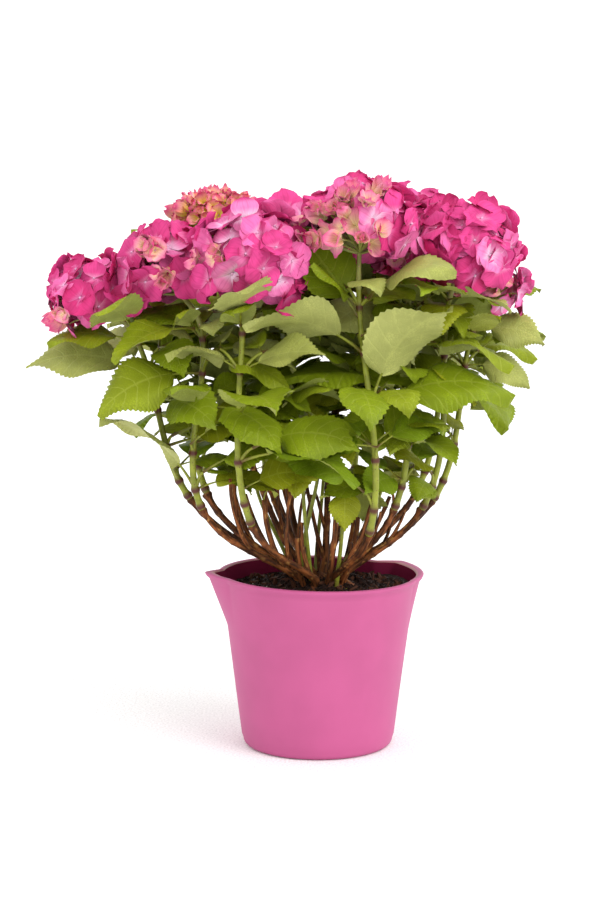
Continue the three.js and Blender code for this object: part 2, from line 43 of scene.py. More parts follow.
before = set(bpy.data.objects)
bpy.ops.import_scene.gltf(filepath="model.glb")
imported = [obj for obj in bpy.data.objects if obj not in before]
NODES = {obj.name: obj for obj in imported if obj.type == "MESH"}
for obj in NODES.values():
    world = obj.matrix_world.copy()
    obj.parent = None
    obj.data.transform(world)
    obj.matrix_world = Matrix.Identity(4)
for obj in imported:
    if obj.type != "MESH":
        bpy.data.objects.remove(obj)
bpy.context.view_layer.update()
MM = 0.001
UP = np.array([0.0, 0.0, 1.0])

# -------- the plant's plan

# An ear is a pleat of the pot's wall, pulled out to a ridge. Azimuths run from +X towards +Y, in degrees.
EARS = [
    {"azimuth": 183, "reach": 12, "before": 8, "after": 22, "drop": 46},
    {"azimuth": 42, "reach": 18, "before": 54, "after": 9, "drop": 48},
]
SOIL = {"level": 141, "lumps": 3.2}
CROWN = {"radius": 38, "height": 21, "foot_height": 14, "sides": 12}
STUMP = {"count": 9, "radius": 2.4, "shortest": 26, "longest": 96}
LEAF = {
    "width_share": 0.74, "petiole_share": 0.3, "petiole_radius": 1.3, "lean": 26,
    "lowest_tip": 166, "skirt_start": 30, "skirt_slope": 0.8,
}
# The stalk's share of stalk and blade together.
STALK_SHARE = LEAF["petiole_share"] / (1 + LEAF["petiole_share"])
# The blade length that the quilting and the stalk are drawn for, and how far forward a side vein runs.
USUAL_LEAF = 80 * MM
VEIN_SLANT = 0.2
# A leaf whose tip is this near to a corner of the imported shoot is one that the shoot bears.
TIP_TOLERANCE = 0.9 * MM
# The ways that a leaf may turn out of another's way: degrees of swing and share of its length.
WAYS = ((0, 1), (0, 0.88), (24, 0.95), (-24, 0.95), (42, 0.8), (-42, 0.8), (0, 0.62))
# Leaf pairs up a shoot: share of its height, blade length, angle above level at the root and its fall to the
# tip.
PAIRS = [
    {"at": 0.12, "length": 64, "rise": 16, "fall": 70},
    {"at": 0.33, "length": 86, "rise": 26, "fall": 74},
    {"at": 0.54, "length": 96, "rise": 30, "fall": 62},
    {"at": 0.75, "length": 90, "rise": 42, "fall": 70},
    {"at": 0.93, "length": 66, "rise": 50, "fall": 60},
]
# How far the crown may reach in X and in Y.
REACH = ((-253, 206), (-205, 212))
# The leaves of a side twig: swing from the twig, least and greatest length; the ranges of rise, fall and
# fold; how much steeper their skirt is than the large leaves' and how far into a head, in radii, they may
# reach.
SMALL_LEAF = {
    "swings": ((0, 44, 76), (80, 34, 62), (-80, 34, 62)), "bends": ((0, 44), (34, 76), (8, 22)), "fold": 12,
    "skirt_steeper": 1.3, "into_head": 0.82,
}
# Where the air in front of a pale leading leaf stays free: depths before it, and steps to the side and up.
FREE_DEPTHS = (14, 28, 42)
FREE_AROUND = ((0, 0), (12, 0), (-12, 0), (0, 12), (0, -12))
SEEDLINGS = 16

# Each cane: azimuth and distance of its foot, elbow, neck under the flower head, azimuth of its first leaf
# pair, the pairs it still bears, and its head: middle, radius, flatness, fringe angle and stage of bloom. A
# head may have its own fineness of florets (grain) and degrees that its open florets hang below the packed
# dome (hang).
CANES = [
    {"foot": (200, 24), "elbow": (-112, -32, 226), "neck": (-160, -40, 372), "turn": 270, "pairs": (1, 2, 3, 4),
     "head": {"middle": (-196, -42, 402), "radius": 36, "flat": 0.95, "fringe": 118, "bloom": "ripe"}},
    {"foot": (222, 27), "elbow": (-100, -60, 221), "neck": (-100, -66, 378), "turn": 180, "pairs": (0, 1, 3, 4),
     "head": {"middle": (-130, -50, 424), "radius": 46, "flat": 0.84, "fringe": 110, "bloom": "ripe"}},
    {"foot": (172, 25), "elbow": (-99, 12, 224), "neck": (-96, 74, 424), "turn": 140, "pairs": (0, 1, 2, 3),
     "head": {"middle": (-90, 84, 464), "radius": 42, "flat": 0.62, "fringe": 96, "bloom": "opening",
              "grain": 0.5}},
    {"foot": (262, 30), "elbow": (-57, -80, 210), "neck": (-64, -86, 386), "turn": 255, "pairs": (1, 2, 3, 4),
     "head": {"middle": (-58, -88, 432), "radius": 49, "flat": 0.96, "fringe": 115, "bloom": "ripe"}},
    {"foot": (165, 9), "elbow": (-60, 14, 252), "neck": (-86, 16, 318), "turn": 100, "pairs": (1, 3, 4)},
    {"foot": (120, 14), "elbow": (-30, 50, 246), "neck": (-24, 22, 410), "turn": 20, "pairs": (0, 1, 2, 3),
     "head": {"middle": (-20, 12, 444), "radius": 42, "flat": 0.9, "fringe": 105, "bloom": "ripe"}},
    {"foot": (60, 10), "elbow": (10, 34, 238), "neck": (30, 66, 404), "turn": 65, "pairs": (1, 2, 3),
     "head": {"middle": (34, 72, 446), "radius": 44, "flat": 0.9, "fringe": 105, "bloom": "ripe"}},
    {"foot": (296, 29), "elbow": (43, -66, 199), "neck": (33, -82, 410), "turn": 8, "pairs": (0, 1, 2, 3, 4),
     "head": {"middle": (34, -82, 456), "radius": 49, "flat": 0.94, "fringe": 112, "bloom": "young",
              "hang": -10}},
    {"foot": (318, 22), "elbow": (66, -32, 216), "neck": (78, -18, 392), "turn": 35, "pairs": (0, 1, 2, 3),
     "head": {"middle": (82, 6, 450), "radius": 42, "flat": 0.95, "fringe": 108, "bloom": "ripe"}},
    {"foot": (350, 24), "elbow": (92, 2, 211), "neck": (112, -38, 398), "turn": 75, "pairs": (0, 1, 2, 4),
     "head": {"middle": (124, -44, 442), "radius": 46, "flat": 0.95, "fringe": 112, "bloom": "deep"}},
    {"foot": (18, 25), "elbow": (104, 34, 214), "neck": (140, 14, 378), "turn": 80, "pairs": (0, 2, 3, 4),
     "head": {"middle": (158, 6, 404), "radius": 26, "flat": 0.9, "fringe": 105, "bloom": "pale"}},
    {"foot": (108, 30), "elbow": (-44, 94, 217), "neck": (-58, 136, 372), "turn": 30, "pairs": (1, 2, 3, 4),
     "head": {"middle": (-64, 146, 412), "radius": 45, "flat": 0.9, "fringe": 110, "bloom": "ripe"}},
    {"foot": (78, 30), "elbow": (32, 102, 214), "neck": (42, 142, 378), "turn": 330, "pairs": (1, 2, 3, 4),
     "head": {"middle": (46, 154, 420), "radius": 46, "flat": 0.9, "fringe": 110, "bloom": "deep"}},
    {"foot": (44, 28), "elbow": (92, 80, 216), "neck": (122, 98, 374), "turn": 300, "pairs": (1, 2, 3, 4),
     "head": {"middle": (130, 104, 416), "radius": 44, "flat": 0.9, "fringe": 110, "bloom": "ripe"}},
]

# Leaves that lead the outline and the front: (cane, pair, side of the pair), then the leaf's own azimuth,
# length, rise, fall and roll, and its colour number. A leaf without one takes it by the light at its place.
# Leaf colour numbers: the first four are one green, lit and shaded as painted shade, half light, sunlight and
# full light. New is the young leaves' own colour.
PAINTED_SHADE, PAINTED_HALF_LIGHT, PAINTED_SUNLIGHT, PAINTED_FULL_LIGHT, NEW = range(5)
BY_LIGHT = -1
LEADING = {
    (1, 3, 0): (183, 84, 24, 50, -38, PAINTED_FULL_LIGHT),
    (1, 3, 1): (10, 60, 62, 80, 25, PAINTED_HALF_LIGHT),
    (1, 4, 0): (190, 62, 20, 46, -20, PAINTED_SUNLIGHT),
    (2, 0, 0): (184, 82, 62, 58, 12, PAINTED_FULL_LIGHT),
    (2, 3, 0): (198, 78, 4, 56, -42, PAINTED_SUNLIGHT),
    (2, 4, 0): (172, 68, 40, 66, -15, PAINTED_HALF_LIGHT),
    (4, 3, 0): (196, 54, 40, 60, 15, PAINTED_FULL_LIGHT),
    (4, 3, 1): (338, 62, 30, 40, 30, PAINTED_FULL_LIGHT),
    (6, 1, 1): (252, 66, -16, 60, 0, PAINTED_SUNLIGHT),
    (7, 2, 0): (248, 62, -6, 62, 0, NEW),
    (8, 2, 0): (322, 96, 74, 66, -20, PAINTED_FULL_LIGHT),
    (8, 3, 0): (196, 86, 40, 66, 30, PAINTED_FULL_LIGHT),
    (8, 4, 0): (176, 60, 40, 4, -28, PAINTED_HALF_LIGHT),
    (8, 4, 1): (10, 80, 22, 24, 15, PAINTED_SUNLIGHT),
    (9, 0, 0): (200, 60, 12, 40, -20, PAINTED_HALF_LIGHT),
    (10, 4, 0): (262, 52, 38, 118, 0, NEW),
    (11, 3, 0): (350, 50, 10, 66, 42, PAINTED_FULL_LIGHT),
    (11, 4, 0): (352, 60, 18, 62, 56, PAINTED_FULL_LIGHT),
}

# Leaves that rise between two heads at the front: the cane and the share of its shoot where the leaf starts,
# then its azimuth, length, rise, fall and roll, and its colour number.
BETWEEN = ((8, 0.88, 186, 76, 58, 10, -60, PAINTED_HALF_LIGHT),)

# The leaf colours in the order of their numbers: name, upper face, lower face and the veins of the upper
# face. The first four rows are lit and shaded copies of one green: painted shade, half light, sunlight and
# full light. The last, new, is the young leaves' own yellow-green.
LEAF_COLOURS = (
    ("shade", "#748b16", "#8d9842", "#8c9a3c"),
    ("open", "#7c8d14", "#959d4a", "#9ea844"),
    ("sunlit", "#87941a", "#9ca352", "#a9b24a"),
    ("pale", "#a0a555", "#acaf65", "#b6ba6d"),
    ("new", "#92981a", "#a2a648", "#b4b84c"),
)

# Petal colours are numbered from 0: deep, rose, light, pale-eyed, young and opening.
LIGHT, YOUNG, OPENING = 2, 4, 5
# Share of the florets that a head of each bloom has in each of the first four colours, and how much of its
# dome is still young: small cupped florets, cream and green at heart with a pink rim. An opening head has
# nothing else, in the last colour.
BLOOMS = {
    "deep": ((0.3, 0.44, 0.2, 0.06), 0.0),
    "ripe": ((0.16, 0.44, 0.28, 0.12), 0.03),
    "young": ((0.14, 0.4, 0.32, 0.14), 0.2),
    "pale": ((0.06, 0.2, 0.48, 0.26), 0.1),
    "opening": ((0.1, 0.5, 0.3, 0.1), 1.0),
}
# The way to the side of a dome that ripens first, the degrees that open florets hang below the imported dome,
# the turn from one floret to the next, and how deep the eye of a floret lies, in floret radii.
RIPENS_TOWARDS = np.array([0.5, 0.8, 0.2])
HANG = 8
GOLDEN_ANGLE = math.pi * (3 - math.sqrt(5))
EYE_DEPTH = 0.14

# Thin green sprouts straight from the crown: azimuth and distance of the foot, the tip, and each leaf's
# azimuth, length, rise, fall and roll.
SPROUTS = (
    {"foot": (300, 30), "tip": (23, -40, 244), "leaves": ((268, 37, -52, 34, 0), (30, 30, 30, 60, 10))},
    {"foot": (250, 16), "tip": (-14, -34, 252), "leaves": ((262, 42, 8, 66, 0), (190, 36, -6, 76, 0))},
    {"foot": (200, 14), "tip": (2, -20, 266), "leaves": ((300, 44, 24, 70, 8), (128, 40, 30, 60, -10))},
    {"foot": (30, 20), "tip": (60, 34, 238), "leaves": ((16, 42, 30, 66, 0), (205, 38, 24, 60, 0))},
    {"foot": (150, 22), "tip": (-58, 40, 240), "leaves": ((160, 44, 26, 70, 0), (325, 36, 30, 60, 0))},
    {"foot": (95, 22), "tip": (6, 62, 246), "leaves": ((100, 44, 26, 70, 0), (275, 36, 30, 60, 0))},
)

# The camera's place, degrees below level and lens, and the way to the soft light. A picture 900 high takes
# the 36 mm sensor on its long side, and the lens is 2087 of those pixels long.
STUDIO = {
    "place": (-0.016, -1.83, 0.4993), "tilt": 7.323, "lens": 36 * 2087 / 900, "sun_from": (0.9, -0.85, 0.95),
}


# -------- small tools


def hex_colour(text):
    """A colour written as sRGB hex, as linear RGB with alpha."""
    srgb = [int(text[i : i + 2], 16) / 255 for i in (1, 3, 5)]
    return (*(c / 12.92 if c <= 0.04045 else ((c + 0.055) / 1.055) ** 2.4 for c in srgb), 1.0)


def unit(vectors):
    """The vectors at length one."""
    return vectors / np.linalg.norm(vectors, axis=-1, keepdims=True)


def heading(azimuth):
    """Level directions from azimuths in degrees."""
    a = np.radians(np.asarray(azimuth, float))
    return np.stack([np.cos(a), np.sin(a), np.zeros_like(a)], -1)


def turns(sides):
    """Even angles round a circle, in radians."""
    return np.arange(sides) * 2 * math.pi / sides


def circle(angle, radius):
    """X and Y at angles in radians round a circle."""
    return radius * np.cos(angle), radius * np.sin(angle)


def round_axis(radius, angle, z):
    """Points at angles round the upright axis, radius away from it and at height z."""
    return np.stack(np.broadcast_arrays(*circle(angle, radius), z), -1)


def rotated(vectors, axes, angles):
    """Vectors turned about unit axes by angles in radians: v cos a + (k x v) sin a + k (k.v)(1 - cos a)."""
    c, s = np.cos(angles)[..., None], np.sin(angles)[..., None]
    dot = np.sum(vectors * axes, -1, keepdims=True)
    return vectors * c + np.cross(axes, vectors) * s + axes * dot * (1 - c)


def cubic(start, start_pull, end, end_pull, t):
    """Points along limbs at shares t: the cubic that leaves start along one pull and reaches end along the
    other, both pulls set to the distance from start to end."""
    reach = np.linalg.norm(end - start, axis=-1, keepdims=True)
    a, b = unit(start_pull) * reach, unit(end_pull) * reach
    t = np.asarray(t, float)[:, None]
    start, end, a, b = (v[..., None, :] for v in (start, end, a, b))
    return (
        (2 * t**3 - 3 * t**2 + 1) * start + (t**3 - 2 * t**2 + t) * a
        + (-2 * t**3 + 3 * t**2) * end + (t**3 - t**2) * b
    )


def relief(seed, *places, waves=6):
    """A smooth random height from about -1 to 1: the mean of sine waves with random pitches and phases."""
    random = np.random.default_rng(seed)
    total = 0
    for _ in range(waves):
        pitch = random.normal(0, 1, len(places))
        total = total + np.sin(sum(k * p for k, p in zip(pitch, places)) + random.uniform(0, 2 * math.pi))
    return total * 1.6 / waves


class Seeded:
    """The source's number sequence: each state is the last one times 1664525 plus 1013904223, in 32 bits."""

    def __init__(self, seed):
        self.state = seed & 0xFFFFFFFF

    def next(self):
        self.state = (self.state * 1664525 + 1013904223) & 0xFFFFFFFF
        return self.state / 4294967296


def corners_of(node):
    """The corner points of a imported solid."""
    mesh = NODES[node].data
    points = np.empty(len(mesh.vertices) * 3, np.float32)
    mesh.vertices.foreach_get("co", points)
    return points.reshape(-1, 3)


# -------- meshes


NO_UV = np.zeros((1, 1, 1, 2))


def skin(rings, uv):
    """Faces for closed rings of points, rings being (pieces, rings, sides, 3). Neighbouring rings are joined
    by quads and both ends are closed by a flat face. A quad in the second half of a ring starts one corner
    later, so that the two faces of a thin blade are cut along the same diagonals and never cross. uv is
    (pieces, rings, sides + 1, 2), or broadcasts to it."""
    pieces, count, sides = rings.shape[:3]
    i, j = np.meshgrid(np.arange(count - 1), np.arange(sides), indexing="ij")
    i, j = i.ravel(), j.ravel()
    corner_i = np.stack([i, i, i + 1, i + 1], -1)
    corner_j = np.stack([j, j + 1, j + 1, j], -1)
    second = (j >= sides // 2)[:, None]
    corner_i = np.where(second, np.roll(corner_i, -1, 1), corner_i)
    corner_j = np.where(second, np.roll(corner_j, -1, 1), corner_j)
    first = np.arange(pieces)[:, None, None] * count * sides
    quads = first + (corner_i * sides + corner_j % sides)
    uv = np.broadcast_to(uv, (pieces, count, sides + 1, 2))
    quad_uv = uv[:, corner_i, corner_j]
    low = np.arange(sides)[::-1]
    caps = first[:, 0] + np.stack([low, (count - 1) * sides + np.arange(sides)])[None].reshape(1, -1)
    caps = caps.reshape(pieces * 2, sides)
    cap_uv = np.stack([uv[:, 0, low], uv[:, -1, :sides]], 1).reshape(pieces * 2, sides, 2)
    return SimpleNamespace(
        points=rings.reshape(-1, 3), quads=quads.reshape(-1, 4), quad_uv=quad_uv.reshape(-1, 4, 2),
        caps=caps, cap_uv=cap_uv, quad_side=np.tile(j, pieces), quad_ring=np.tile(i, pieces),
        quad_piece=np.repeat(np.arange(pieces), len(i)), cap_piece=np.repeat(np.arange(pieces), 2),
    )


def add_piece(name, skins, materials, nodes, crease=55):
    """One joined mesh object from several skins. Each skin may carry material numbers for its quads and caps,
    and named values for its points. Edges sharper than crease degrees stay sharp."""
    points, loops, sizes, uvs, paint, values, start = [], [], [], [], [], {}, 0
    for part in skins:
        for faces, uv, number in (
            (part.quads, part.quad_uv, getattr(part, "quad_paint", 0)),
            (part.caps, part.cap_uv, getattr(part, "cap_paint", 0)),
        ):
            loops.append((faces + start).ravel())
            sizes.append(np.full(len(faces), faces.shape[1]))
            uvs.append(uv.reshape(-1, 2))
            paint.append(np.broadcast_to(number, (len(faces),)))
        points.append(part.points)
        for key, value in getattr(part, "values", {}).items():
            values.setdefault(key, []).append(np.broadcast_to(value, (len(part.points),)))
        start += len(part.points)
    points, loops, sizes = np.concatenate(points), np.concatenate(loops), np.concatenate(sizes)
    mesh = bpy.data.meshes.new(name)
    mesh.vertices.add(len(points))
    mesh.vertices.foreach_set("co", points.astype(np.float32).ravel())
    mesh.loops.add(len(loops))
    mesh.loops.foreach_set("vertex_index", loops.astype(np.int32))
    mesh.polygons.add(len(sizes))
    mesh.polygons.foreach_set("loop_start", (np.cumsum(sizes) - sizes).astype(np.int32))
    mesh.polygons.foreach_set("material_index", np.concatenate(paint).astype(np.int32))
    layer = mesh.uv_layers.new(name="UVMap")
    layer.uv.foreach_set("vector", np.concatenate(uvs).astype(np.float32).ravel())
    for key, value in values.items():
        attribute = mesh.attributes.new(key, "FLOAT", "POINT")
        attribute.data.foreach_set("value", np.concatenate(value).astype(np.float32))
    mesh.update(calc_edges=True)
    mesh.validate()
    mesh.shade_smooth()
    mesh.set_sharp_from_angle(angle=math.radians(crease))
    for material in materials:
        mesh.materials.append(material)
    piece = bpy.data.objects.new(name, mesh)
    bpy.context.scene.collection.objects.link(piece)
    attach(piece, "root")
    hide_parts(*nodes)
    return piece


def tubes(lines, radius, sides, knot=0.0):
    """Round skins along lines: centre + radius (side cos a + other sin a), where side and other are square to
    the line. lines is (pieces, rings, 3). radius broadcasts to (pieces, rings), or with three axes to
    (pieces, rings, sides), and knot to (pieces, rings)."""
    along = unit(np.gradient(lines, axis=1))
    chord = unit(lines[:, -1] - lines[:, 0])
    guide = np.where(np.abs(chord[:, :1]) < 0.7, [[1.0, 0, 0]], [[0, 1.0, 0]])[:, None]
    side = unit(guide - along * np.sum(guide * along, -1, keepdims=True))
    other = np.cross(along, side)
    turn = turns(sides)
    radius = np.asarray(radius, float)
    radius = radius[..., None] if radius.ndim < 3 else radius
    spokes = side[:, :, None] * np.cos(turn)[:, None] + other[:, :, None] * np.sin(turn)[:, None]
    rings = lines[:, :, None] + spokes * np.broadcast_to(radius, (*lines.shape[:2], sides))[..., None]
    steps = np.linalg.norm(np.diff(lines, axis=1, prepend=lines[:, :1]), axis=-1)
    run = np.cumsum(steps, axis=1)[:, :, None] + np.zeros(sides + 1)
    around = np.broadcast_to(np.arange(sides + 1) / sides, run.shape)
    part = skin(rings, np.stack([run, around], -1))
    part.values = {"knot": np.repeat(np.broadcast_to(knot, lines.shape[:2]).ravel(), sides)}
    return part


# -------- materials


def feed(tree, socket, value):
    """Links a node's output to a socket, or sets a constant on the socket itself."""
    if isinstance(value, bpy.types.NodeSocket):
        tree.links.new(value, socket)
    else:
        socket.default_value = value


def add(tree, kind, inputs=(), **settings):
    """Adds a shader node with its settings. inputs pairs a socket's name or number with what feeds it."""
    node = tree.nodes.new(kind)
    for key, value in settings.items():
        setattr(node, key, value)
    for key, value in dict(inputs).items():
        feed(tree, node.inputs[key], value)
    return node


def material(name, finish, *values):
    """A new material with a Principled shader, fed with what the finish function gives for each socket."""
    made = bpy.data.materials.new(name)
    made.use_nodes = True
    tree = made.node_tree
    shader = tree.nodes["Principled BSDF"]
    for socket, value in finish(tree, *values).items():
        feed(tree, shader.inputs[socket], value)
    return made


def blend(tree, share, low, high, mode="MIX"):
    """The output of a colour mix from low to high by share."""
    inputs = {0: share, 6: low, 7: high}
    return add(tree, "ShaderNodeMix", inputs, data_type="RGBA", blend_type=mode).outputs[2]


def spread(tree, value, low, high):
    """The output of a smooth step from 0 at low to 1 at high."""
    inputs = {0: value, 1: low, 2: high}
    return add(tree, "ShaderNodeMapRange", inputs, interpolation_type="SMOOTHSTEP").outputs[0]


def object_place(tree):
    """The place on the object, in metres."""
    return add(tree, "ShaderNodeTexCoord").outputs["Object"]


def uv_place(tree, along=None, across=1.0):
    """The place in the piece's own UV, stretched by a factor along it and one across it."""
    uv = add(tree, "ShaderNodeUVMap", uv_map="UVMap").outputs[0]
    if along is None:
        return uv
    return add(tree, "ShaderNodeMapping", {"Vector": uv, "Scale": (along, across, 1.0)}).outputs[0]


def knots(tree):
    """How near a point is to a leaf joint or an old scar, from 0 to 1."""
    return add(tree, "ShaderNodeAttribute", attribute_name="knot").outputs["Fac"]


def noise(tree, place, size, detail):
    """A cloudy pattern whose patches are size across."""
    inputs = {"Vector": place, "Scale": 1 / size, "Detail": float(detail)}
    return add(tree, "ShaderNodeTexNoise", inputs).outputs[0]


def cells(tree, place, size, feature="F1"):
    """A pattern of cells that are size across: the distance to a cell's middle, or to its edge."""
    inputs = {"Vector": place, "Scale": 1 / size}
    return add(tree, "ShaderNodeTexVoronoi", inputs, feature=feature).outputs[0]


def calculated(tree, operation, *values):
    """The output of one calculation on values."""
    return add(tree, "ShaderNodeMath", dict(enumerate(values)), operation=operation).outputs[0]


def bump(tree, height, distance, strength, below=None, invert=False):
    """A relief of a height pattern, distance high, laid over the one below it."""
    inputs = {"Height": height, "Distance": distance, "Strength": strength}
    if below:
        inputs["Normal"] = below
    return add(tree, "ShaderNodeBump", inputs, invert=invert).outputs[0]


def shade(colour, factor):
    """A colour made lighter or darker by a factor."""
    return (*(min(1.0, c * factor) for c in colour[:3]), 1.0)


def mottled(tree, pattern, low, high, colour, dark, pale):
    """A colour from its dark to its pale shade, as a pattern goes from low to high."""
    return blend(tree, spread(tree, pattern, low, high), shade(colour, dark), shade(colour, pale))


def pot_plastic(tree, colour, gloss=0.35):
    """Polypropylene, injection moulded and left matt: an even soft gloss, with a faint cloudiness in the
    colour and a slightly uneven skin that breaks up the highlight."""
    place = object_place(tree)
    cloud = noise(tree, place, 45 * MM, 2)
    dents = bump(tree, noise(tree, place, 28 * MM, 1), 0.8 * MM, 0.3)
    return {
        "Base Color": mottled(tree, cloud, 0.3, 0.7, colour, 0.96, 1.04),
        "Normal": bump(tree, noise(tree, place, 1.2 * MM, 2), 0.12 * MM, 0.3, dents),
        "Roughness": 0.52,
        "IOR": 1.49,
        "Specular IOR Level": gloss,
    }


def compost(tree, colour):
    """Peat compost, moist: near black crumbs with brown fibres, matt but for wet specks that catch the
    light."""
    place = object_place(tree)
    crumb = noise(tree, place, 2.5 * MM, 6)
    fibre = cells(tree, place, 3.5 * MM)
    wet = spread(tree, fibre, 0.34, 0.3)
    return {
        "Base Color": mottled(tree, crumb, 0.35, 0.7, colour, 0.45, 1.9),
        "Normal": bump(tree, crumb, 1.5 * MM, 0.9, bump(tree, fibre, 2 * MM, 0.7)),
        "Roughness": add(tree, "ShaderNodeMapRange", {0: wet, 3: 0.95, 4: 0.5}).outputs[0],
        "Specular IOR Level": 0.25,
    }


def plain(tree, colour, roughness):
    """A small part in one material, with a slight mottling at 2 mm."""
    tint = mottled(tree, noise(tree, object_place(tree), 2 * MM, 3), 0.3, 0.7, colour, 0.82, 1.12)
    return {"Base Color": tint, "Roughness": roughness, "Specular IOR Level": 0.25}


def bark(tree, colour):
    """Hydrangea bark, grown over two years: reddish brown, peeling in long thin strips, with grey-brown
    flakes, darker where it is older and round each old leaf scar. UV runs in metres along the cane and once
    round it."""
    strip = noise(tree, uv_place(tree, 1 / (16 * MM), 6.0), 1, 5)
    flake = noise(tree, uv_place(tree, 1 / (7 * MM), 4.0), 1, 3)
    age = noise(tree, object_place(tree), 26 * MM, 1)
    old = add(tree, "ShaderNodeMapRange", {0: age, 1: 0.36, 2: 0.64, 3: 0.42, 4: 1.25}).outputs[0]
    tint = mottled(tree, strip, 0.38, 0.62, colour, 0.32, 1.55)
    tint = blend(tree, spread(tree, flake, 0.56, 0.7), tint, hex_colour("#a0713c"))
    tint = blend(tree, 1.0, tint, old, "MULTIPLY")
    faint = calculated(tree, "MULTIPLY", knots(tree), 0.75)
    return {
        "Base Color": blend(tree, faint, tint, hex_colour("#38180f")),
        "Normal": bump(tree, strip, 0.5 * MM, 0.7),
        "Roughness": 0.66,
        "Specular IOR Level": 0.2,
    }


def green_stem(tree, colour, knot_colour):
    """This year's hydrangea wood: smooth yellow-green, slightly waxy, purple-brown at each leaf joint and
    freckled with small dark pores."""
    place = object_place(tree)
    pores = cells(tree, place, 2.6 * MM)
    tint = mottled(tree, noise(tree, place, 9 * MM, 3), 0.3, 0.7, colour, 0.72, 1.15)
    tint = blend(tree, spread(tree, pores, 0.22, 0.1), tint, shade(knot_colour, 1.5))
    return {
        "Base Color": blend(tree, knots(tree), tint, knot_colour),
        "Roughness": 0.45,
        "Specular IOR Level": 0.4,
    }


def leaf_face(tree, colour, vein_colour, roughness, vein_pairs):
    """One side of a hydrangea leaf: side veins that run out and forward from the midrib, a fine net between
    them, and a soft sheen. UV runs along the midrib, sheared so that a side vein keeps one value, and across
    from 0 to 1."""
    place = object_place(tree)
    along, across, _ = add(tree, "ShaderNodeSeparateXYZ", {0: uv_place(tree)}).outputs
    wave = calculated(tree, "PINGPONG", calculated(tree, "MULTIPLY", along, float(vein_pairs)), 0.5)
    off = calculated(tree, "ABSOLUTE", calculated(tree, "SUBTRACT", across, 0.5))
    vein = calculated(tree, "MAXIMUM", spread(tree, wave, 0.085, 0.02), spread(tree, off, 0.03, 0.01))
    net = spread(tree, cells(tree, place, 2.2 * MM, "DISTANCE_TO_EDGE"), 0.0, 0.18)
    tint = mottled(tree, noise(tree, place, 16 * MM, 4), 0.3, 0.7, colour, 0.8, 1.16)
    tint = blend(tree, net, shade(colour, 0.88), tint)
    sunk = bump(tree, vein, 0.35 * MM, 0.5, invert=True)
    return {
        "Base Color": blend(tree, calculated(tree, "MULTIPLY", vein, 0.3), tint, vein_colour),
        "Normal": bump(tree, net, 0.2 * MM, 0.5, sunk),
        "Roughness": roughness,
        "Specular IOR Level": 0.18,
    }


def petal(tree, colour, eye, edge, eye_reach=0.34):
    """A hydrangea sepal: soft and matt like thin suede, paler towards the eye, with the faintest of veins
    fanning out, painted a little darker as shade in their furrows. UV runs from the eye to the rim and across
    from 0 to 1."""
    outward = add(tree, "ShaderNodeSeparateXYZ", {0: uv_place(tree)}).outputs[0]
    veins = noise(tree, uv_place(tree, 1.2, 15.0), 1, 2)
    cloud = noise(tree, object_place(tree), 17 * MM, 2)
    tint = mottled(tree, cloud, 0.32, 0.68, colour, 0.86, 1.18)
    tint = blend(tree, spread(tree, outward, 0.02, eye_reach), eye, tint)
    tint = blend(tree, spread(tree, outward, 0.7, 1.0), tint, edge)
    return {
        # The veins are painted darker: painted shade in their furrows.
        "Base Color": blend(tree, spread(tree, veins, 0.42, 0.66), tint, (0.86, 0.74, 0.8, 1), "MULTIPLY"),
        "Normal": bump(tree, veins, 0.12 * MM, 0.5),
        "Roughness": 0.66,
        "Specular IOR Level": 0.2,
    }


# -------- growth


def plan_canes():
    """Every cane at once: the ends and pulls of its wood and of its shoot, worked out as in the part's
    source."""
    azimuth, distance = np.array([c["foot"] for c in CANES], float).T
    foot = heading(azimuth) * distance[:, None] * MM
    foot[:, 2] = (SOIL["level"] + CROWN["foot_height"]) * MM
    elbow = np.array([c["elbow"] for c in CANES]) * MM
    neck = np.array([c["neck"] for c in CANES]) * MM
    blind = [tuple(np.add(c["neck"], (0, 0, 20))) for c in CANES]
    middle = np.array([c["head"]["middle"] if "head" in c else b for c, b in zip(CANES, blind)]) * MM
    climb, rise = unit(elbow - foot), unit(neck - elbow)
    outward = unit((elbow - foot) * [1, 1, 0])
    leave = outward * 0.9 + UP * (0.25 + climb[:, 2:] * 0.6)
    bend = climb + rise
    finish = rise + unit(middle - neck) * 0.5
    return SimpleNamespace(
        foot=foot, elbow=elbow, neck=neck, middle=middle, leave=leave, finish=finish,
        wood=lambda t: cubic(foot, leave, elbow, bend, t),
        stem=lambda t: cubic(elbow, bend, neck, finish, t),
    )


LEAF_FIELDS = ("azimuth", "length", "rise", "fall", "roll", "fold")


def leaf_set(rows):
    """Leaves as arrays, from rows of root, azimuth, length, rise, fall, roll, fold and colour number."""
    columns = list(zip(*rows))
    leaves = SimpleNamespace(root=np.array(columns[0], float), tone=np.array(columns[7], int))
    for name, column in zip(LEAF_FIELDS, columns[1:7]):
        setattr(leaves, name, np.array(column, float))
    return leaves


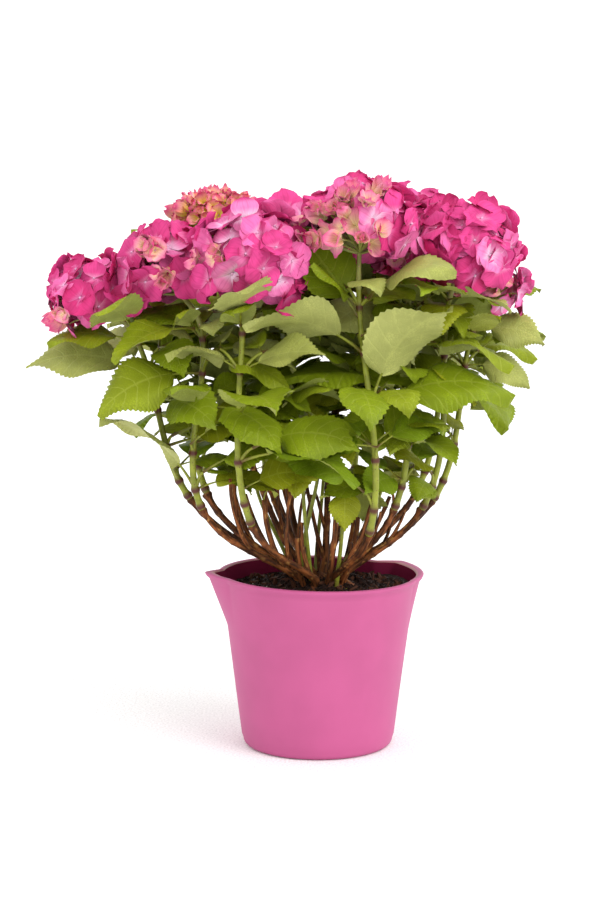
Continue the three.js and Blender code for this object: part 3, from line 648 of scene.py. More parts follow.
def midribs(leaves, shares):
    """Points and directions along each leaf at shares of petiole and blade together. The angle above level
    starts at rise and falls by fall times share to the power 1.3, and the point is its sum along the way."""
    fine = 96
    middle = (np.arange(fine) + 0.5) / fine
    whole = leaves.length * (1 + LEAF["petiole_share"])
    pitch = np.radians(leaves.rise[:, None] - leaves.fall[:, None] * middle**1.3)
    out = heading(leaves.azimuth)
    level = np.cumsum(np.cos(pitch), 1) * whole[:, None] / fine
    height = np.cumsum(np.sin(pitch), 1) * whole[:, None] / fine
    level, height = (np.pad(v, ((0, 0), (1, 0))) for v in (level, height))
    shares = np.asarray(shares, float)
    low = np.minimum((shares * fine).astype(int), fine - 1)
    part = shares * fine - low
    level = level[:, low] * (1 - part) + level[:, low + 1] * part
    height = height[:, low] * (1 - part) + height[:, low + 1] * part
    points = leaves.root[:, None] + out[:, None] * level[..., None] + UP * height[..., None]
    pitch = np.radians(leaves.rise[:, None] - leaves.fall[:, None] * shares**1.3)[..., None]
    forward = out[:, None] * np.cos(pitch) + UP * np.sin(pitch)
    side = np.broadcast_to(np.cross(UP, out)[:, None], forward.shape)
    side = rotated(side, forward, np.broadcast_to(np.radians(leaves.roll)[:, None], forward.shape[:2]))
    return points, forward, side, np.cross(forward, side)


def half_width(leaves, s):
    """Half the width of each blade at shares s of its length: egg-shaped, drawn out to a point."""
    outline = np.sin(math.pi * np.clip(s, 0, 1) ** 0.75) * (1 - 0.4 * s**4) * 1.04
    return 0.5 * LEAF["width_share"] * leaves.length[:, None] * outline


def leaf_marks(leaves):
    """Points that leaves are kept apart by: the midrib and both edges along the blade."""
    s = np.array([0.05, 0.3, 0.6, 0.85, 1.0])
    points, _, side, _ = midribs(leaves, STALK_SHARE + s * (1 - STALK_SHARE))
    edge = side * (half_width(leaves, s) * 0.9)[..., None]
    return np.stack([points, points + edge, points - edge], 1).reshape(len(points), -1, 3)


def source_leaves(plan):
    """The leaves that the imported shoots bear. The source gives each leaf a few ways to turn; the way that it
    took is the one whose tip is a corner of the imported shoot."""
    rows = []
    for index, cane in enumerate(CANES):
        random = Seeded(100 + index)
        corners = corners_of(f"leafy_shoot_{index + 1}")
        for rank in cane["pairs"]:
            pair = PAIRS[rank]
            root = plan.stem([pair["at"]])[index, 0]
            outward = unit(root * [1, 1, 0])
            for side in (0, 1):
                azimuth = cane["turn"] + 90 * rank + 180 * side + 24 * (random.next() - 0.5)
                length = pair["length"] * (0.88 + 0.24 * random.next())
                rise = pair["rise"] + 20 * (random.next() - 0.5)
                fall = pair["fall"] + 24 * (random.next() - 0.5)
                roll = 40 * (random.next() - 0.5) - LEAF["lean"] * (outward @ heading(azimuth + 90))
                fold = 8 + 16 * random.next()
                ruled = (azimuth, length, rise, fall, roll, BY_LIGHT)
                azimuth, length, rise, fall, roll, tone = LEADING.get((index + 1, rank, side), ruled)
                ways = [
                    (root, azimuth + swing, length * size * MM, rise, fall, roll, fold, tone)
                    for swing, size in WAYS
                ]
                tips = midribs(leaf_set(ways), [1.0])[0][:, 0]
                apart = np.linalg.norm(tips[:, None] - corners, axis=-1).min(1)
                if apart.min() < TIP_TOLERANCE:
                    rows.append(ways[int(np.argmin(apart))])
    return rows


def have_room(wishes, taken, room):
    """Which of the wished leaves are clear of every taken point and flower head, inside the crown's reach and
    above a skirt that rises outwards."""
    marks = leaf_marks(leaf_set(wishes))
    low, high = (np.array(ends) * MM for ends in zip(*REACH))
    inside = ((marks[..., :2] > low) & (marks[..., :2] < high)).all((1, 2))
    out = np.linalg.norm(marks[..., :2], axis=-1)
    slope = SMALL_LEAF["skirt_steeper"] * LEAF["skirt_slope"]
    skirt = LEAF["lowest_tip"] * MM + slope * np.maximum(out - LEAF["skirt_start"] * MM, 0)
    inside &= (marks[..., 2] > skirt).all(1)
    heads = np.array([[*c["head"]["middle"], c["head"]["radius"]] for c in CANES if "head" in c]) * MM
    from_middle = np.linalg.norm(marks[:, :, None] - heads[:, :3], axis=-1)
    clear_of_heads = (from_middle > SMALL_LEAF["into_head"] * heads[:, 3]).all((1, 2))
    clear_of_leaves = np.linalg.norm(marks[:, :, None] - taken, axis=-1).min((1, 2)) > room
    return inside & clear_of_heads & clear_of_leaves


def fine_twigs(plan, bearing, settings):
    """Side twigs in the leaf joints, each with a pair of leaves and one at its tip, where there is room for
    them. Each leaf has a few tries, and leans like the large ones, with its upper face outwards. First come
    the leaves that have a place of their own between two heads."""
    random = np.random.default_rng(7)
    taken = leaf_marks(leaf_set(bearing))
    # The room in front of a pale leading leaf stays free, so that it is seen whole.
    leading = taken[[leaf[7] == PAINTED_FULL_LIGHT for leaf in bearing]].reshape(-1, 3)
    free = [leading + np.array([x, -depth, z]) * MM for depth in FREE_DEPTHS for x, z in FREE_AROUND]
    taken = np.concatenate([taken.reshape(-1, 3), *free])
    twigs, leaves = [], []
    for cane, share, azimuth, length, rise, fall, roll, tone in BETWEEN:
        root = plan.stem([share])[cane - 1, 0]
        leaves.append((root, azimuth, length * MM, rise, fall, roll, SMALL_LEAF["fold"], tone))
    taken = np.concatenate([taken, leaf_marks(leaf_set(leaves)).reshape(-1, 3)])
    for index, cane in enumerate(CANES):
        for rank, pair in enumerate(PAIRS):
            root, ahead = plan.stem([pair["at"], pair["at"] + 0.03])[index]
            outward = unit(root * [1, 1, 0])
            for opposite in (0, 180):
                azimuth = cane["turn"] + 90 * rank + opposite + random.uniform(-25, 25)
                out = unit(heading(azimuth) * random.uniform(0.6, 1.1) + unit(ahead - root))
                tip = root + out * random.uniform(8, 26) * MM
                kept = []
                for swing, shortest, longest in SMALL_LEAF["swings"]:
                    tries = []
                    for size in np.linspace(longest, shortest, settings.tries):
                        turned = azimuth + swing + random.uniform(-35, 35)
                        roll = 36 * random.uniform(-0.5, 0.5)
                        roll -= LEAF["lean"] * (outward @ heading(turned + 90))
                        rise, fall, fold = (random.uniform(*ends) for ends in SMALL_LEAF["bends"])
                        tries.append((tip, turned, size * MM, rise, fall, roll, fold, BY_LIGHT))
                    fits = have_room(tries, taken, settings.room)
                    if fits.any():
                        chosen = tries[int(np.argmax(fits))]
                        kept.append(chosen)
                        taken = np.concatenate([taken, leaf_marks(leaf_set([chosen])).reshape(-1, 3)])
                if kept:
                    leaves += kept
                    twigs.append((root, out, tip, heading(azimuth) + out))
    return leaves, [np.array(column) for column in zip(*twigs)]


def crown_sprouts():
    """Green sprouts from the crown and tiny seedling leaves on the compost: leaves, and the ends and pulls of
    the sprouts."""
    random = np.random.default_rng(11)
    leaves, sprouts = [], []
    for sprout in SPROUTS:
        azimuth, distance = sprout["foot"]
        foot = heading(azimuth) * distance * MM + UP * (SOIL["level"] - 3) * MM
        tip = np.array(sprout["tip"]) * MM
        sprouts.append((foot, UP + 0.2 * heading(azimuth), tip, UP + 0.25 * unit(tip - foot)))
        for turned, length, rise, fall, roll in sprout["leaves"]:
            leaves.append((tip, turned, length * MM, rise, fall, roll, SMALL_LEAF["fold"], NEW))
    ground = UP * (SOIL["level"] - 1) * MM
    for _ in range(SEEDLINGS):
        spot = heading(random.uniform(200, 340)) * random.uniform(30, 66) * MM + ground
        for turned in random.uniform(0, 360) + np.array([0, 180]):
            leaves.append((spot, turned, random.uniform(3, 6) * MM, 55, 50, 0, 10, NEW))
    return leaves, [np.array(column) for column in zip(*sprouts)]


def round_blade(across):
    """Shares across a thin blade, from 1 to -1 over its upper face and back under the lower one; the side
    that each is on, 1 or -1; and the same shares closed to a loop, for the UV."""
    over = np.linspace(1, -1, across)
    v = np.concatenate([over, over[-2:0:-1]])
    return v, np.concatenate([np.ones(across), -np.ones(across - 2)]), np.append(v, v[0])


def blades(leaves, stations, across, settings):
    """Leaf blades as thin closed skins. Across each station the ring runs over the upper face and back under
    the lower one. A point stands at midrib + side v half + normal (fold, quilting and droop of the margin),
    where half follows the outline with its teeth, and the quilting sinks along each side vein and rises
    between them."""
    random = np.random.default_rng(len(leaves.length))
    s = np.linspace(0.015, 0.995, stations)
    points, forward, side, normal = midribs(leaves, STALK_SHARE + s * (1 - STALK_SHARE))
    tooth = np.where(np.arange(stations) % 2 == 0, -0.5, 0.5) * np.sin(math.pi * s) ** 0.5
    size = leaves.length / USUAL_LEAF
    half = half_width(leaves, s) + tooth * settings.tooth * np.clip(size, 0.4, 1.1)[:, None]
    half[:, [0, -1]] = [LEAF["petiole_radius"] * MM * 0.8, 0.2 * MM]
    v, upper, v_loop = round_blade(across)
    phase = (s[:, None] - VEIN_SLANT * np.abs(v)) * settings.vein_pairs
    quilt = np.abs(np.sin(math.pi * phase)) ** 0.7 * (1 - v**2) * np.abs(v) ** 0.5
    quilt = quilt * np.sin(math.pi * s[:, None]) ** 0.5 * settings.quilting
    fold_angle = np.radians(leaves.fold)[:, None, None]
    fold = 0.7 * np.tan(fold_angle) * half[..., None] * np.abs(v) ** 1.3 * (1 - 0.3 * np.abs(v))
    wave = random.uniform(0, 2 * math.pi, (len(points), 1, 1))
    margin = 0.045 * np.sin(2 * math.pi * (1.6 * s[:, None] + 0.2 * v) + wave) * v**2
    sag = random.uniform(-0.02, 0.1, (len(points), 1, 1)) * v**4
    rib = np.exp(-((v / 0.12) ** 2)) * (1 - s[:, None]) * 0.7 * MM
    skin_half = 0.5 * settings.thickness * (1 - v**2)
    lift = fold + (margin - sag) * leaves.length[:, None, None]
    lift = lift + quilt * size[:, None, None] + upper * skin_half - np.where(upper < 0, rib, 0)
    reach = half[..., None] * v * np.cos(fold_angle)
    ahead = (np.maximum(tooth, 0)[:, None] * np.abs(v) ** 4 * settings.tooth)[None]
    rings = (
        points[:, :, None] + side[:, :, None] * reach[..., None]
        + normal[:, :, None] * lift[..., None] + forward[:, :, None] * ahead[..., None]
    )
    along = s[:, None] - VEIN_SLANT * np.abs(v_loop)
    part = skin(rings, np.stack(np.broadcast_arrays(along, (v_loop + 1) / 2), -1))
    under = (part.quad_side >= across - 1).astype(int)
    part.quad_paint = leaves.tone[part.quad_piece] * 2 + under
    part.cap_paint = leaves.tone[part.cap_piece] * 2
    return part


def petioles(leaves, sides):
    """Leaf stalks from the joint into the blade, thicker and darker at the joint."""
    t = np.linspace(0, 1, 8)
    lines = midribs(leaves, t * (1.12 * STALK_SHARE))[0]
    thick = np.clip(leaves.length / USUAL_LEAF, 0.45, 1.1)[:, None] * LEAF["petiole_radius"] * MM
    return tubes(lines, thick * (1.35 - 0.6 * t**0.5), sides, np.clip(1 - 1.9 * t, 0, 0.8))


def flowering_canes():
    """The numbers of the canes that bear a head, from 0."""
    return [index for index, cane in enumerate(CANES) if "head" in cane]


def floret_places(plan, spacing, layer):
    """Florets over every head: a spiral from the top of the dome down to its fringe, turning by the golden
    angle, as in the source but closer set. Those that would lie inside a neighbour's dome are left out. The
    young ones stand together where a smooth relief over the dome, which rises towards the back and the right,
    is lowest."""
    found = []
    flowering = flowering_canes()
    middles = plan.middle[flowering]
    radii = np.array([CANES[i]["head"]["radius"] for i in flowering]) * MM
    for order, index in enumerate(flowering):
        head, neck, middle = CANES[index]["head"], plan.neck[index], plan.middle[index]
        random = np.random.default_rng(900 + index + int(layer * 100))
        grain = head.get("grain", 1)
        radius = head["radius"] * MM * layer * (0.74 + 0.26 * grain)
        axis = unit(unit(middle - neck) + UP)
        side = unit(np.array([1.0, 0, 0]) - axis * axis[0])
        other = np.cross(axis, side)
        cap = 1 - math.cos(math.radians(head["fringe"] + head.get("hang", HANG)))
        area = 2 * math.pi * radius**2 * cap * (0.4 + 0.6 * head["flat"])
        count = max(6, round(area / (math.pi * (spacing * grain) ** 2) / 0.82))
        i = np.arange(count)
        down = 1 - cap * (i + 0.5) / count
        flat_out = np.sqrt(1 - down**2)[:, None]
        turn = (i * GOLDEN_ANGLE)[:, None] + 0.4 * order
        out = side * flat_out * np.cos(turn) + other * flat_out * np.sin(turn)
        out = out + axis * down[:, None] * head["flat"]
        point = middle + out * radius * random.uniform(0.85, 1.0, (count, 1))
        facing = unit(out + random.uniform(-0.4, 0.4, (count, 3)))
        apart = np.linalg.norm(point[:, None] - middles, axis=-1) / radii
        apart[:, order] = np.inf
        kept = apart.min(1) > 0.84
        shares, young = BLOOMS[head["bloom"]]
        tone = random.choice(len(shares), count, p=np.array(shares) / sum(shares))
        ripeness = relief(60 + index, *(2.0 * unit(out).T)) + 2.2 * unit(out) @ RIPENS_TOWARDS
        unripe = ripeness <= np.quantile(ripeness, young)
        tone = np.where(unripe, OPENING if young == 1 else YOUNG, tone) if young else tone
        fineness = np.clip(head["radius"] / 44, 0.74, 1) * max(grain, 0.62)
        size = random.uniform(15.5, 20.5, count) * MM * fineness
        cup = random.uniform(0.02, 0.62, count)
        hub = neck + (middle - neck) * (0.5 + 0.35 * (down[:, None] + 1) / 2)

        # In the outer layer a young floret is three small cupped ones side by side.
        copies = np.where((tone == YOUNG) & (layer == 1), 3, 1)
        which = np.repeat(np.arange(count), copies)
        young_one = (copies == 3)[which]
        shift = random.normal(0, 0.36, (len(which), 3)) * (size[which] * young_one)[:, None]
        shift = shift - facing[which] * np.sum(shift * facing[which], -1, keepdims=True)
        size = size[which] * np.where(young_one, random.uniform(0.5, 0.78, len(which)), 1)
        cup = np.where(tone[which] >= YOUNG, random.uniform(0.7, 1.6, len(which)), cup[which])
        spin = random.uniform(0, math.pi / 2, len(which))
        found.append(SimpleNamespace(
            point=point[which] + shift, facing=unit(facing[which] + 0.3 * shift / (10 * MM)), size=size,
            spin=spin, tone=tone[which], cup=cup, hub=hub[which], out=out[which], kept=kept[which],
        ))
    florets = {key: np.concatenate([getattr(one, key) for one in found]) for key in vars(found[0])}
    return part_of(SimpleNamespace(**florets), florets["kept"])


def part_of(florets, chosen):
    """Some of the florets."""
    return SimpleNamespace(**{key: value[chosen] for key, value in vars(florets).items()})


def floret_frame(florets):
    """Two directions square to the way each floret faces."""
    guide = np.where(np.abs(florets.facing[:, 2:]) < 0.8, [[0, 0, 1.0]], [[1.0, 0, 0]])
    side = unit(np.cross(guide, florets.facing))
    return side, np.cross(florets.facing, side)


def sepals(florets, settings, stations, across):
    """Four sepals a floret, as thin closed skins. A point stands at eye + outward r L + sideways v half(r) +
    facing (tilt r - curl r^2 + cup v^2), where half is a broad rounded outline, wide enough for neighbours to
    lap."""
    random = np.random.default_rng(len(florets.spin))
    side, other = floret_frame(florets)
    quarter = np.arange(4) * math.pi / 2
    turn = florets.spin[:, None] + quarter + random.uniform(-0.13, 0.13, (len(florets.spin), 4))
    forward = side[:, None] * np.cos(turn)[..., None] + other[:, None] * np.sin(turn)[..., None]
    forward = forward.reshape(-1, 3)
    count = len(forward)
    up = np.repeat(florets.facing, 4, axis=0)
    eye = np.repeat(florets.point - florets.facing * florets.size[:, None] * EYE_DEPTH, 4, axis=0)
    sideways = np.cross(up, forward)
    length = np.repeat(florets.size, 4) * random.uniform(0.86, 1.12, count)
    tilt = np.repeat(florets.cup, 4)[:, None, None] + random.uniform(-0.14, 0.14, (count, 1, 1))
    curl = random.uniform(0.08, 0.5, (count, 1, 1))
    hollow = random.uniform(-0.12, 0.3, (count, 1, 1))
    lap = np.tile([0.0, 1.0, 0.0, 1.0], count // 4)[:, None, None] * 0.05
    tone = np.repeat(florets.tone, 4)
    r = np.linspace(0.03, 1, stations)
    half = 0.63 * np.sin(math.pi * np.clip(0.05 + 0.9 * r, 0, 1) ** 0.98) ** 0.6
    half[0], half[-1] = 0.08, 0.17
    half = half * random.uniform(0.88, 1.08, (count, 1)) * np.where(tone >= YOUNG, 0.86, 1)[:, None]
    v, upper, v_loop = round_blade(across)
    reach = np.cos(np.clip(tilt - 0.25, 0, 1.1))
    radial = (r[:, None] - 0.12 * (np.abs(v) ** 2) * r[:, None] ** 3) * reach
    wave = random.uniform(0, 2 * math.pi, (count, 1, 1))
    frill = 0.04 * np.sin(4 * v + 6 * r[:, None] + wave) * r[:, None] ** 2
    height = tilt * r[:, None] - curl * r[:, None] ** 2 + hollow * v**2 * r[:, None] + lap + frill
    skin_half = 0.5 * settings.sepal_thickness * (1 - v**2) * upper
    size = length[:, None, None]
    rings = (
        eye[:, None, None]
        + forward[:, None, None] * (radial * size)[..., None]
        + sideways[:, None, None] * (half[..., None] * v * size)[..., None]
        + up[:, None, None] * (height * size + skin_half)[..., None]
    )
    part = skin(rings, np.stack(np.broadcast_arrays(r[:, None], (v_loop + 1) / 2), -1))
    part.quad_paint, part.cap_paint = tone[part.quad_piece], tone[part.cap_piece]
    return part


def buds(florets):
    """The closed true flower in each eye: a small round bead, rings of radius R sin a at height R cos a."""
    side, other = floret_frame(florets)
    radius = np.clip(florets.size / (18 * MM), 0.5, 1)[:, None, None] * 1.4 * MM
    a = np.radians([160, 125, 90, 55, 20])
    turn = np.arange(6) * math.pi / 3
    centre = florets.point - florets.facing * (florets.size[:, None] * EYE_DEPTH - 1.2 * MM)
    spokes = side[:, None] * np.cos(turn)[:, None] + other[:, None] * np.sin(turn)[:, None]
    rings = (
        centre[:, None, None] + spokes[:, None] * (np.sin(a)[:, None] * radius)[..., None]
        + florets.facing[:, None, None] * (np.cos(a)[:, None] * radius)[..., None]
    )
    return skin(rings, NO_UV)


def settings_of(context):
    """The panel's settings, by the last word of each group's name."""
    return SimpleNamespace(**{name.split("_")[1]: getattr(context.scene, name) for name in GROUPS})


def numbered(name):
    """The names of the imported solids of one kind."""
    return sorted(n for n in NODES if n.startswith(name))


# -------- settings


def length_setting(name, description, default):
    """A length in the panel, its default in millimetres."""
    return bpy.props.FloatProperty(
        name=name, description=description, default=default * MM, unit="LENGTH"
    )


def colour_setting(name, description, default):
    """A colour in the panel, its default as sRGB hex."""
    return bpy.props.FloatVectorProperty(
        name=name, description=description, default=hex_colour(default), size=4, subtype="COLOR"
    )


class PotSettings(bpy.types.PropertyGroup):
    height: length_setting("Height", "Underside to the middle of the rim", 154)
    rim_radius: length_setting("Rim radius", "Outside radius under the lip", 87)
    base_radius: length_setting("Base radius", "Outside radius at the floor", 67)
    wall: length_setting("Wall", "Wall thickness", 5)
    colour: colour_setting("Outside", "Colour of the outside", "#b65283")
    rim_colour: colour_setting("Rim", "Colour of the bare rim", "#bd7c86")
    # The inside is the same pink plastic as the outside, painted dark maroon as the shade inside the pot.
    inside_painted_shade_colour: colour_setting("Inside", "Colour of the inside", "#6a1c38")


class StemSettings(bpy.types.PropertyGroup):
    cane_foot: length_setting("Cane foot", "Radius of a cane at its foot", 3.3)
    cane_tip: length_setting("Cane tip", "Radius of a cane at its elbow", 2.7)
    shoot_foot: length_setting("Shoot foot", "Radius of a shoot at the elbow", 3.0)
    shoot_tip: length_setting("Shoot tip", "Radius of a shoot at its neck", 2.2)
    bark_colour: colour_setting("Bark", "Middle colour of the bark", "#70401f")
    green: colour_setting("Green wood", "Colour of this year's stems", "#8b922c")
    joint_colour: colour_setting("Joints", "Colour at the leaf joints", "#52221a")


class LeafSettings(bpy.types.PropertyGroup):
    thickness: length_setting("Thickness", "Blade thickness at the midrib", 0.6)
    tooth: length_setting("Teeth", "Depth of the teeth round the margin", 2.3)
    quilting: length_setting("Quilting", "Rise of the blade between its veins", 1.5)
    vein_pairs: bpy.props.IntProperty(name="Vein pairs", description="Side veins on each half", default=7)
    tries: bpy.props.IntProperty(
        name="Tries", description="Sizes tried for each leaf of a side twig", default=4
    )
    room: length_setting("Room", "Least distance from a small leaf to any other", 5.5)


class HeadSettings(bpy.types.PropertyGroup):
    spacing: length_setting("Spacing", "Half the distance between florets", 13.2)
    sepal_thickness: length_setting("Sepal thickness", "Thickness of a sepal", 0.45)
    deep: colour_setting("Deep", "Deepest pink", "#c63273")
    rose: colour_setting("Rose", "Main pink", "#d14084")
    light: colour_setting("Light", "Light pink", "#de66a2")


class StudioSettings(bpy.types.PropertyGroup):
    sun: bpy.props.FloatProperty(name="Sun", description="Strength of the large soft light", default=1.38)
    softness: bpy.props.FloatProperty(
        name="Softness", description="Angle that the soft light fills", default=math.radians(38),
        subtype="ANGLE",
    )
    surround: bpy.props.FloatProperty(
        name="Surround", description="Strength of the white surround", default=1.33
    )
    floor_colour: colour_setting("Floor", "Colour of the floor", "#f9f9f9")


# -------- pieces


def wall_radius(pot, z):
    """Outside radius of the pot's straight wall at height z."""
    return pot.base_radius + (pot.rim_radius - pot.base_radius) * z / pot.height


def ear_push(azimuth, z, height):
    """How far the ears push the wall out: a tent across each ear, growing evenly from its foot to the rim."""
    push = 0
    for ear in EARS:
        apart = (azimuth - ear["azimuth"] + 540) % 360 - 180
        width = np.where(apart < 0, ear["before"], ear["after"])
        across = np.clip(1.03 - np.sqrt((apart / width) ** 2 + 0.0009), 0, 1)
        up = np.clip((z - (height - ear["drop"] * MM)) / (ear["drop"] * MM), 0, 1)
        push = push + ear["reach"] * MM * across * up
    return push


class HYDRANGEA_OT_pot(bpy.types.Operator):
    """Build the moulded pot, with its two ears and its slightly crooked rim"""

    bl_idname = "hydrangea.pot"
    bl_label = "Pot"

    def execute(self, context):
        pot = settings_of(context).pot
        height, wall = pot.height, pot.wall
        foot, lip, proud = 6 * MM, 4 * MM, 2 * MM
        a = np.linspace(-math.pi / 2, 0, 7)
        foot_z, foot_r = foot * (1 + np.sin(a)), wall_radius(pot, 0) - foot * (1 - np.cos(a))
        side_z = np.linspace(foot, height - lip - 2 * MM, 40)[1:]
        b = np.linspace(0, math.pi, 9)
        rim_z = height - 1.5 * MM + 1.5 * MM * np.sin(b)
        rim_r = wall_radius(pot, height) + proud - wall / 2 + wall / 2 * np.cos(b)
        in_z = np.linspace(height - 4 * MM, 8 * MM, 12)
        rows = [
            (np.array([0.0, 0.0]), np.array([2 * MM, 40 * MM]), 0, 0),
            (foot_z, foot_r, 1, 0),
            (side_z, wall_radius(pot, side_z), 1, 0),
            (np.array([height - lip]), np.array([wall_radius(pot, height - lip) + proud * 0.8]), 1, 0),
            (rim_z[:5], rim_r[:5], 1, 0),
            (rim_z[5:7], rim_r[5:7], 0.85, 0),
            (rim_z[7:], rim_r[7:], 0.7, 1),
            (in_z, wall_radius(pot, in_z) - wall, 0.7, 2),
            (np.array([6 * MM, 6 * MM]), np.array([56 * MM, 2 * MM]), 0, 2),
        ]
        z = np.concatenate([row[0] for row in rows])[:, None]
        radius = np.concatenate([row[1] for row in rows])[:, None]
        ears = np.concatenate([np.full(len(row[0]), row[2]) for row in rows])[:, None]
        paint = np.concatenate([np.full(len(row[0]), row[3]) for row in rows])
        sides = 240
        azimuth = np.arange(sides) * 360 / sides
        angle = np.radians(azimuth)
        uneven = relief(3, *circle(angle, 2), z / (45 * MM)) * 0.35 * MM
        uneven = uneven * np.clip(z / (30 * MM), 0, 1) * (radius > 30 * MM)
        r = radius + ears * ear_push(azimuth, z, height) + uneven
        fall = 4 * MM * r * np.cos(angle) / (2 * pot.rim_radius)
        level = z - fall * np.clip((z - height / 2) / (height / 2), 0, 1)
        part = skin(round_axis(r, angle, level)[None], NO_UV)
        part.quad_paint = paint[part.quad_ring + 1]
        part.cap_paint = np.array([0, 2])
        materials = [
            material("polypropylene_outside", pot_plastic, pot.colour),
            material("polypropylene_rim", pot_plastic, pot.rim_colour),
            # The inside's dark maroon is painted shade, not a colour of the plastic.
            material("polypropylene_inside_painted_shade", pot_plastic, pot.inside_painted_shade_colour, 0.0),
        ]
        add_piece("pot_shell", [part], materials, ["pot"])
        return {"FINISHED"}


def lumps(centres, sizes, seed):
    """Small rough stones: for each, rings of radius sin a at height cos a, stretched unevenly and turned at
    random."""
    random = np.random.default_rng(seed)
    count = len(centres)
    a = np.radians([150, 100, 50])[:, None]
    sides = 5
    local = round_axis(np.sin(a), turns(sides), np.cos(a))
    local = local * random.uniform(0.75, 1.25, (count, len(a), sides, 1)) * sizes[:, None, None]
    axes = unit(random.normal(0, 1, (count, 3)))[:, None, None]
    angles = np.broadcast_to(random.uniform(0, math.pi, (count, 1, 1)), local.shape[:3])
    local = rotated(local, np.broadcast_to(axes, local.shape), angles)
    return skin(centres[:, None, None] + local, NO_UV)


class HYDRANGEA_OT_compost(bpy.types.Operator):
    """Fill the pot with compost: a lumpy top with crumbs, grit and bits of bark on it"""

    bl_idname = "hydrangea.compost"
    bl_label = "Compost"

    def execute(self, context):
        pot = settings_of(context).pot
        level = SOIL["level"] * MM
        wall = pot.wall + 0.4 * MM
        edge = wall_radius(pot, level - 3 * MM) - wall
        sides = 160
        turn = np.radians(np.arange(sides) * 360 / sides)
        share = np.linspace(1, 0.02, 44)

        def top(radius, angle):
            x, y = circle(angle, radius)
            rough = relief(21, x / (9 * MM), y / (9 * MM)) + 0.6 * relief(22, x / (3.4 * MM), y / (3.4 * MM))
            dip = SOIL["lumps"] * MM * (0.45 - 0.4 * rough) * np.clip((radius - 20 * MM) / (20 * MM), 0, 1)
            heap = 9 * MM * np.exp(-((radius / (36 * MM)) ** 2)) * (1 + 0.5 * rough)
            return level + 1.5 * MM - dip + heap

        ears = 0.7 * ear_push(np.degrees(turn), level, pot.height)
        r_top = (edge + ears) * share[:, None]
        z_top = top(r_top, turn)
        # The fill's side runs straight up to the foot of the ears, and from there out into them.
        below = pot.height - max(ear["drop"] for ear in EARS) * MM
        low_z = np.array([[6.5 * MM], [6.5 * MM], [below]]) * np.ones(sides)
        low_r = [[2 * MM], [wall_radius(pot, 7 * MM) - wall], [wall_radius(pot, below) - wall]]
        low_r = np.array(low_r) * np.ones(sides)
        radius, z = np.concatenate([low_r, r_top]), np.concatenate([low_z, z_top])
        ground = skin(round_axis(radius, turn, z)[None], NO_UV)
        random = np.random.default_rng(12)

        def scattered(count, low, high, squash):
            r = edge * 0.97 * np.sqrt(random.uniform(0.01, 1, count))
            a = random.uniform(0, 2 * math.pi, count)
            centres = round_axis(r, a, top(r, a))
            return centres, random.uniform(low, high, (count, 1)) * MM * np.array(squash)

        crumbs = lumps(*scattered(1800, 0.7, 2.4, (1, 1, 0.8)), 1)
        chips = lumps(*scattered(150, 1.6, 3.6, (2.4, 0.8, 0.5)), 2)
        chips.quad_paint = chips.cap_paint = 1
        grit = lumps(*scattered(26, 0.5, 1.0, (1, 1, 0.9)), 3)
        grit.quad_paint = grit.cap_paint = 2
        materials = [
            material("peat_compost", compost, hex_colour("#22100a")),
            material("bark_chips", plain, hex_colour("#442414"), 0.8),
            material("perlite_grit", plain, hex_colour("#c9c2b6"), 0.8),
        ]
        add_piece("compost_top", [ground, crumbs, chips, grit], materials, ["soil"], 40)
        return {"FINISHED"}


def near_scars(along, scars, length, width):
    """How near each share along a limb is to the nearest of its scars: a bell over each, width wide."""
    apart = (along - scars[..., None]) * length[..., None]
    return np.exp(-((apart / width) ** 2)).max(1)


def cane_wood(plan, stems, random):
    """The canes up to their elbows. Each leaves the compost a little nearer the middle than its foot."""
    count = len(CANES)
    buried = plan.foot * [0.72, 0.72, 0] + UP * (SOIL["level"] - 5) * MM
    root_t, t = np.linspace(0, 1, 12), np.linspace(0, 1, 64)
    roots = cubic(buried, unit(plan.foot * [1, 1, 0]) * 0.2 + UP, plan.foot, plan.leave, root_t)
    lines = np.concatenate([roots[:, :-1], plan.wood(t)], axis=1)
    along = np.concatenate([root_t[:-1] - 1, t])
    length = np.linalg.norm(plan.elbow - plan.foot, axis=1)[:, None]
    taper = stems.cane_foot + (stems.cane_tip - stems.cane_foot) * np.clip(along, 0, 1)
    flare = 0.3 * np.clip(1 - (along + 0.2) * 3, 0, 1)
    elbow_scar = np.full((count, 1), 0.985)
    scars = np.concatenate([random.uniform(0.18, 0.88, (count, 4)), elbow_scar], 1)
    knot = near_scars(along, scars, length, 1.8 * MM)
    swollen = near_scars(along, elbow_scar, length, 4 * MM)
    radius = taper * random.uniform(0.84, 1.02, (count, 1)) * (1 + flare + 0.2 * knot + 0.42 * swollen)
    sides, which = 14, np.arange(count)[:, None, None]
    rough = relief(8, *circle(turns(sides), 2.2), (along * 9)[:, None] + 5 * which)
    return tubes(lines, radius[..., None] * (1 + 0.1 * rough), sides, knot * 0.7)


def dead_ends(plan, random):
    """A short dead end past each elbow, where last year's flower was cut off."""
    tip = plan.wood([0.9, 1.0])
    ahead = unit(tip[:, 1] - tip[:, 0])
    reach = random.uniform(5, 12, (len(CANES), 1)) * MM
    s = np.linspace(0, 1, 5)
    lines = plan.elbow[:, None] + ahead[:, None] * (reach[:, None] * s[:, None])
    return tubes(lines, 2.8 * MM * (1 - 0.35 * s), 9, 0.5)


